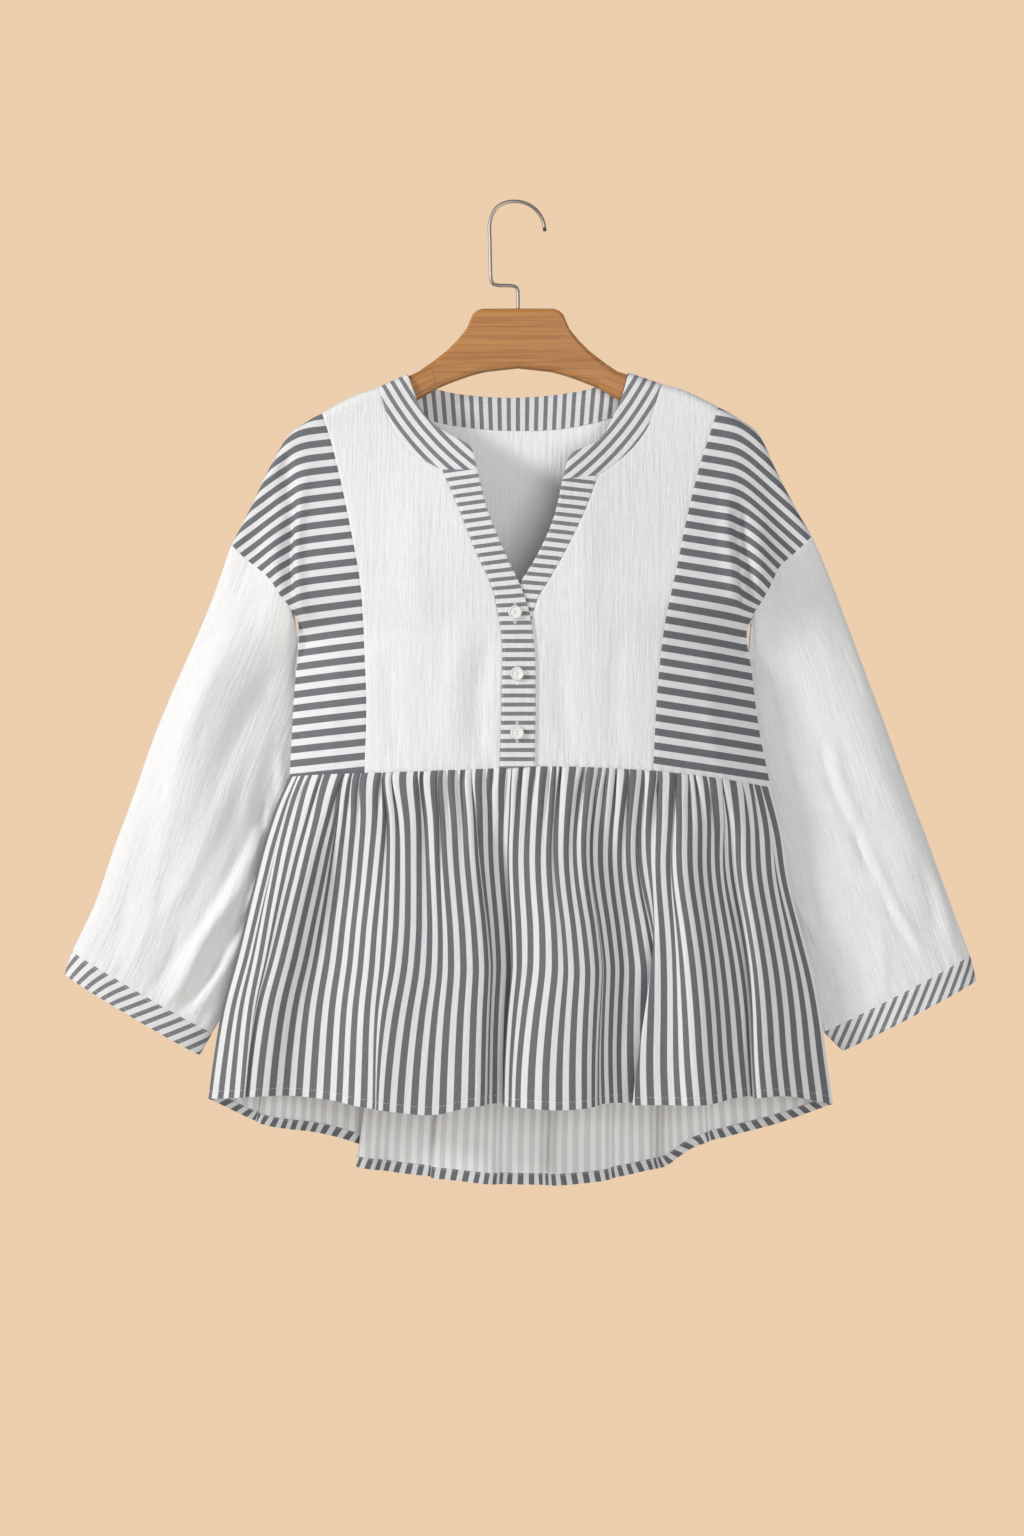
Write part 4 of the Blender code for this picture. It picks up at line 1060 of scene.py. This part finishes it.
def make_materials():
    """Cloth materials of the blouse."""
    gauze = (0.83, 0.83, 0.825)
    voile = (0.755, 0.76, 0.765)
    band = (0.78, 0.785, 0.79)
    grey = (0.158, 0.162, 0.176)
    trim = (0.215, 0.218, 0.236)
    return {
        "gauze": cloth_material("gauze_cloth", gauze, 0.75),
        "wide": cloth_material("wide_skirt", voile, 0.4, WIDE, grey, WIDE_DARK),
        "narrow": cloth_material("narrow_trim", band, 0.35, NARROW, trim, NARROW_DARK),
    }


def wood_material(name, slope):
    """Satin wood whose grain runs along the bar."""
    nodes = Nodes(name)
    turn = (0, math.radians(slope), 0)
    vector = nodes.add("ShaderNodeMapping", {"Vector": nodes.place(), "Rotation": turn})[0]
    bend = nodes.noise(vector, (4, 20, 26), 2.0)
    warp = enumerate((bend, (0, 0.004, 0.006), vector))
    vector = nodes.add("ShaderNodeVectorMath", warp, operation="MULTIPLY_ADD")[0]
    grain = nodes.noise(vector, (12, 380, 640), 4.0)
    height = nodes.math("MULTIPLY", nodes.split(vector)[2], 62)
    ring = nodes.math("FRACT", nodes.math("MULTIPLY_ADD", bend, 0.35, height))
    ring = nodes.range(nodes.math("ABSOLUTE", nodes.math("SUBTRACT", ring, 0.5)), 0.0, 0.05, 0.6, 0.0)
    broad = nodes.noise(vector, (5, 60, 90), 2.0, (3, 1, 2))
    pores = nodes.noise(vector, (60, 900, 1500), 2.0, (1, 4, 2))
    colour = nodes.mix(nodes.range(grain, 0.3, 0.72), (0.49, 0.212, 0.050, 1), (0.345, 0.132, 0.026, 1))
    colour = nodes.mix(nodes.math("MULTIPLY", nodes.range(broad, 0.4, 0.75), 0.55), colour,
                       (0.55, 0.25, 0.07, 1))
    colour = nodes.mix(nodes.math("MULTIPLY", nodes.range(pores, 0.62, 0.75), 0.5), colour, WOOD_LINE)
    colour = nodes.mix(ring, colour, WOOD_LINE)
    first = nodes.bump(grain, 0.0002, 0.3)
    nodes.surface(Base_Color=colour, Roughness=nodes.range(grain, 0.2, 0.8, 0.38, 0.55),
                  Coat_Weight=0.15, Coat_Roughness=0.3, Normal=nodes.bump(pores, 0.0001, 0.4, first))
    return nodes.made


def steel_material():
    """Satin wire with a dark dipped tip."""
    nodes = Nodes("hook_wire")
    vector = nodes.place()
    across, _, height = nodes.split(vector)
    low = nodes.range(height, -0.0236, -0.0232, 1.0, 0.0)
    tip = nodes.math("MULTIPLY", low, nodes.range(across, 0.015, 0.016))
    marks = nodes.noise(vector, (90, 90, 160), 2.0)
    cloud = nodes.noise(vector, (70, 70, 70), 2.0)
    metal = nodes.mix(nodes.math("MULTIPLY", cloud, 0.5), (0.44, 0.39, 0.34, 1), (0.32, 0.285, 0.25, 1))
    nodes.surface(Base_Color=nodes.mix(tip, metal, (0.03, 0.028, 0.027, 1)),
                  Metallic=nodes.math("SUBTRACT", 1.0, tip),
                  Roughness=nodes.range(marks, 0.2, 0.8, 0.38, 0.46),
                  Normal=nodes.bump(marks, 0.00001, 0.1))
    return nodes.made


def button_material():
    """Off-white resin with faint clouds."""
    nodes = Nodes("button_resin")
    cloud = nodes.noise(nodes.place(), (260, 260, 420), 3.0)
    fleck = nodes.noise(nodes.place(), (1500, 1500, 1500), 2.0)
    colour = nodes.mix(nodes.range(cloud, 0.3, 0.7), (0.82, 0.81, 0.78, 1), (0.70, 0.69, 0.66, 1))
    nodes.surface(Base_Color=colour, Roughness=nodes.range(fleck, 0.2, 0.8, 0.26, 0.4),
                  Coat_Weight=0.3, Coat_Roughness=0.15, Normal=nodes.bump(fleck, 0.00003, 0.3))
    return nodes.made


def thread_material():
    """White sewing thread with its twist."""
    nodes = Nodes("sewing_thread")
    twist = nodes.noise(nodes.place(), (2500, 2500, 2500), 2.0)
    colour = nodes.mix(nodes.range(twist, 0.3, 0.7), (0.84, 0.84, 0.82, 1), (0.70, 0.70, 0.69, 1))
    nodes.surface(Base_Color=colour, Roughness=0.7, Normal=nodes.bump(twist, 0.0001, 0.5))
    return nodes.made


def finish_nodes():
    """Gives the carried-over hanger and buttons their materials."""
    parts = {
        "hanger_centre": wood_material("wood_centre", 0),
        "hanger_arm_left": wood_material("wood_left", 24),
        "hanger_arm_right": wood_material("wood_right", -24),
        "hanger_hook": steel_material(),
    }
    resin = button_material()
    for i in range(len(BUTTON_PLACES)):
        parts[f"button_{i + 1}"] = resin
    for name, material in parts.items():
        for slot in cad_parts[name].material_slots:
            slot.material = material


def make_stage():
    """Pale floor far below the hanging blouse, soft light from the upper left, and the camera."""
    scene = bpy.context.scene
    nodes = Nodes("pale_floor")
    nodes.surface(Base_Color=(0.80, 0.72, 0.62, 1), Roughness=0.9)
    data = bpy.data.meshes.new("floor")
    reach, level = 4.5, -3.2
    corners = [(x * reach, y * reach, level) for x, y in ((-1, -1), (1, -1), (1, 1), (-1, 1))]
    data.from_pydata(corners, [], [(0, 1, 2, 3)])
    data.materials.append(nodes.made)
    add_object("floor", data)
    world = Nodes("studio", bpy.data.worlds)
    seen = world.add("ShaderNodeLightPath")["Is Camera Ray"]
    soft = world.add("ShaderNodeBackground", {"Color": (0.27, 0.27, 0.275, 1)})[0]
    backdrop = world.add("ShaderNodeBackground", {"Color": (0.84, 0.62, 0.42, 1)})[0]
    both = world.add("ShaderNodeMixShader", {0: seen, 1: soft, 2: backdrop})[0]
    world.wire(both, world.tree.nodes["World Output"].inputs["Surface"])
    scene.world = world.made
    scene.view_settings.view_transform = "Standard"
    for name, place, size, power, colour in (
        ("key", (-3.2, -1.5, 0.7), 0.7, 102, (1.0, 0.995, 0.99)),
        ("fill", (0.9, -3.1, -0.6), 2.0, 49, (0.99, 0.993, 1.0)),
        ("rear", (1.2, 2.4, 0.6), 1.6, 55, (1.0, 1.0, 1.0)),
    ):
        light = bpy.data.lights.new(name, "AREA")
        light.size = size
        light.energy = power
        light.color = colour
        lamp = add_object(name, light)
        lamp.location = place
        lamp.visible_glossy = name != "rear"
        aim = Vector((0, 0, -0.52)) - Vector(place)
        lamp.rotation_euler = aim.to_track_quat("-Z", "Y").to_euler()
    camera = bpy.data.cameras.new("camera")
    camera.sensor_fit = "VERTICAL"
    camera.sensor_height = 24.0
    camera.lens = 36.18
    holder = add_object("camera", camera)
    holder.location = (-0.0057, -2.2, -0.53675)
    holder.rotation_euler = (math.radians(90), 0, 0)
    scene.camera = holder


mats = make_materials()
sewing = Sewing()
make_bodice(mats)
make_bands(mats, sewing)
make_skirt(mats, sewing)
make_sleeves(mats, sewing)
sew_buttons(sewing)
sewing.finish("sewing", thread_material())
finish_nodes()
make_stage()
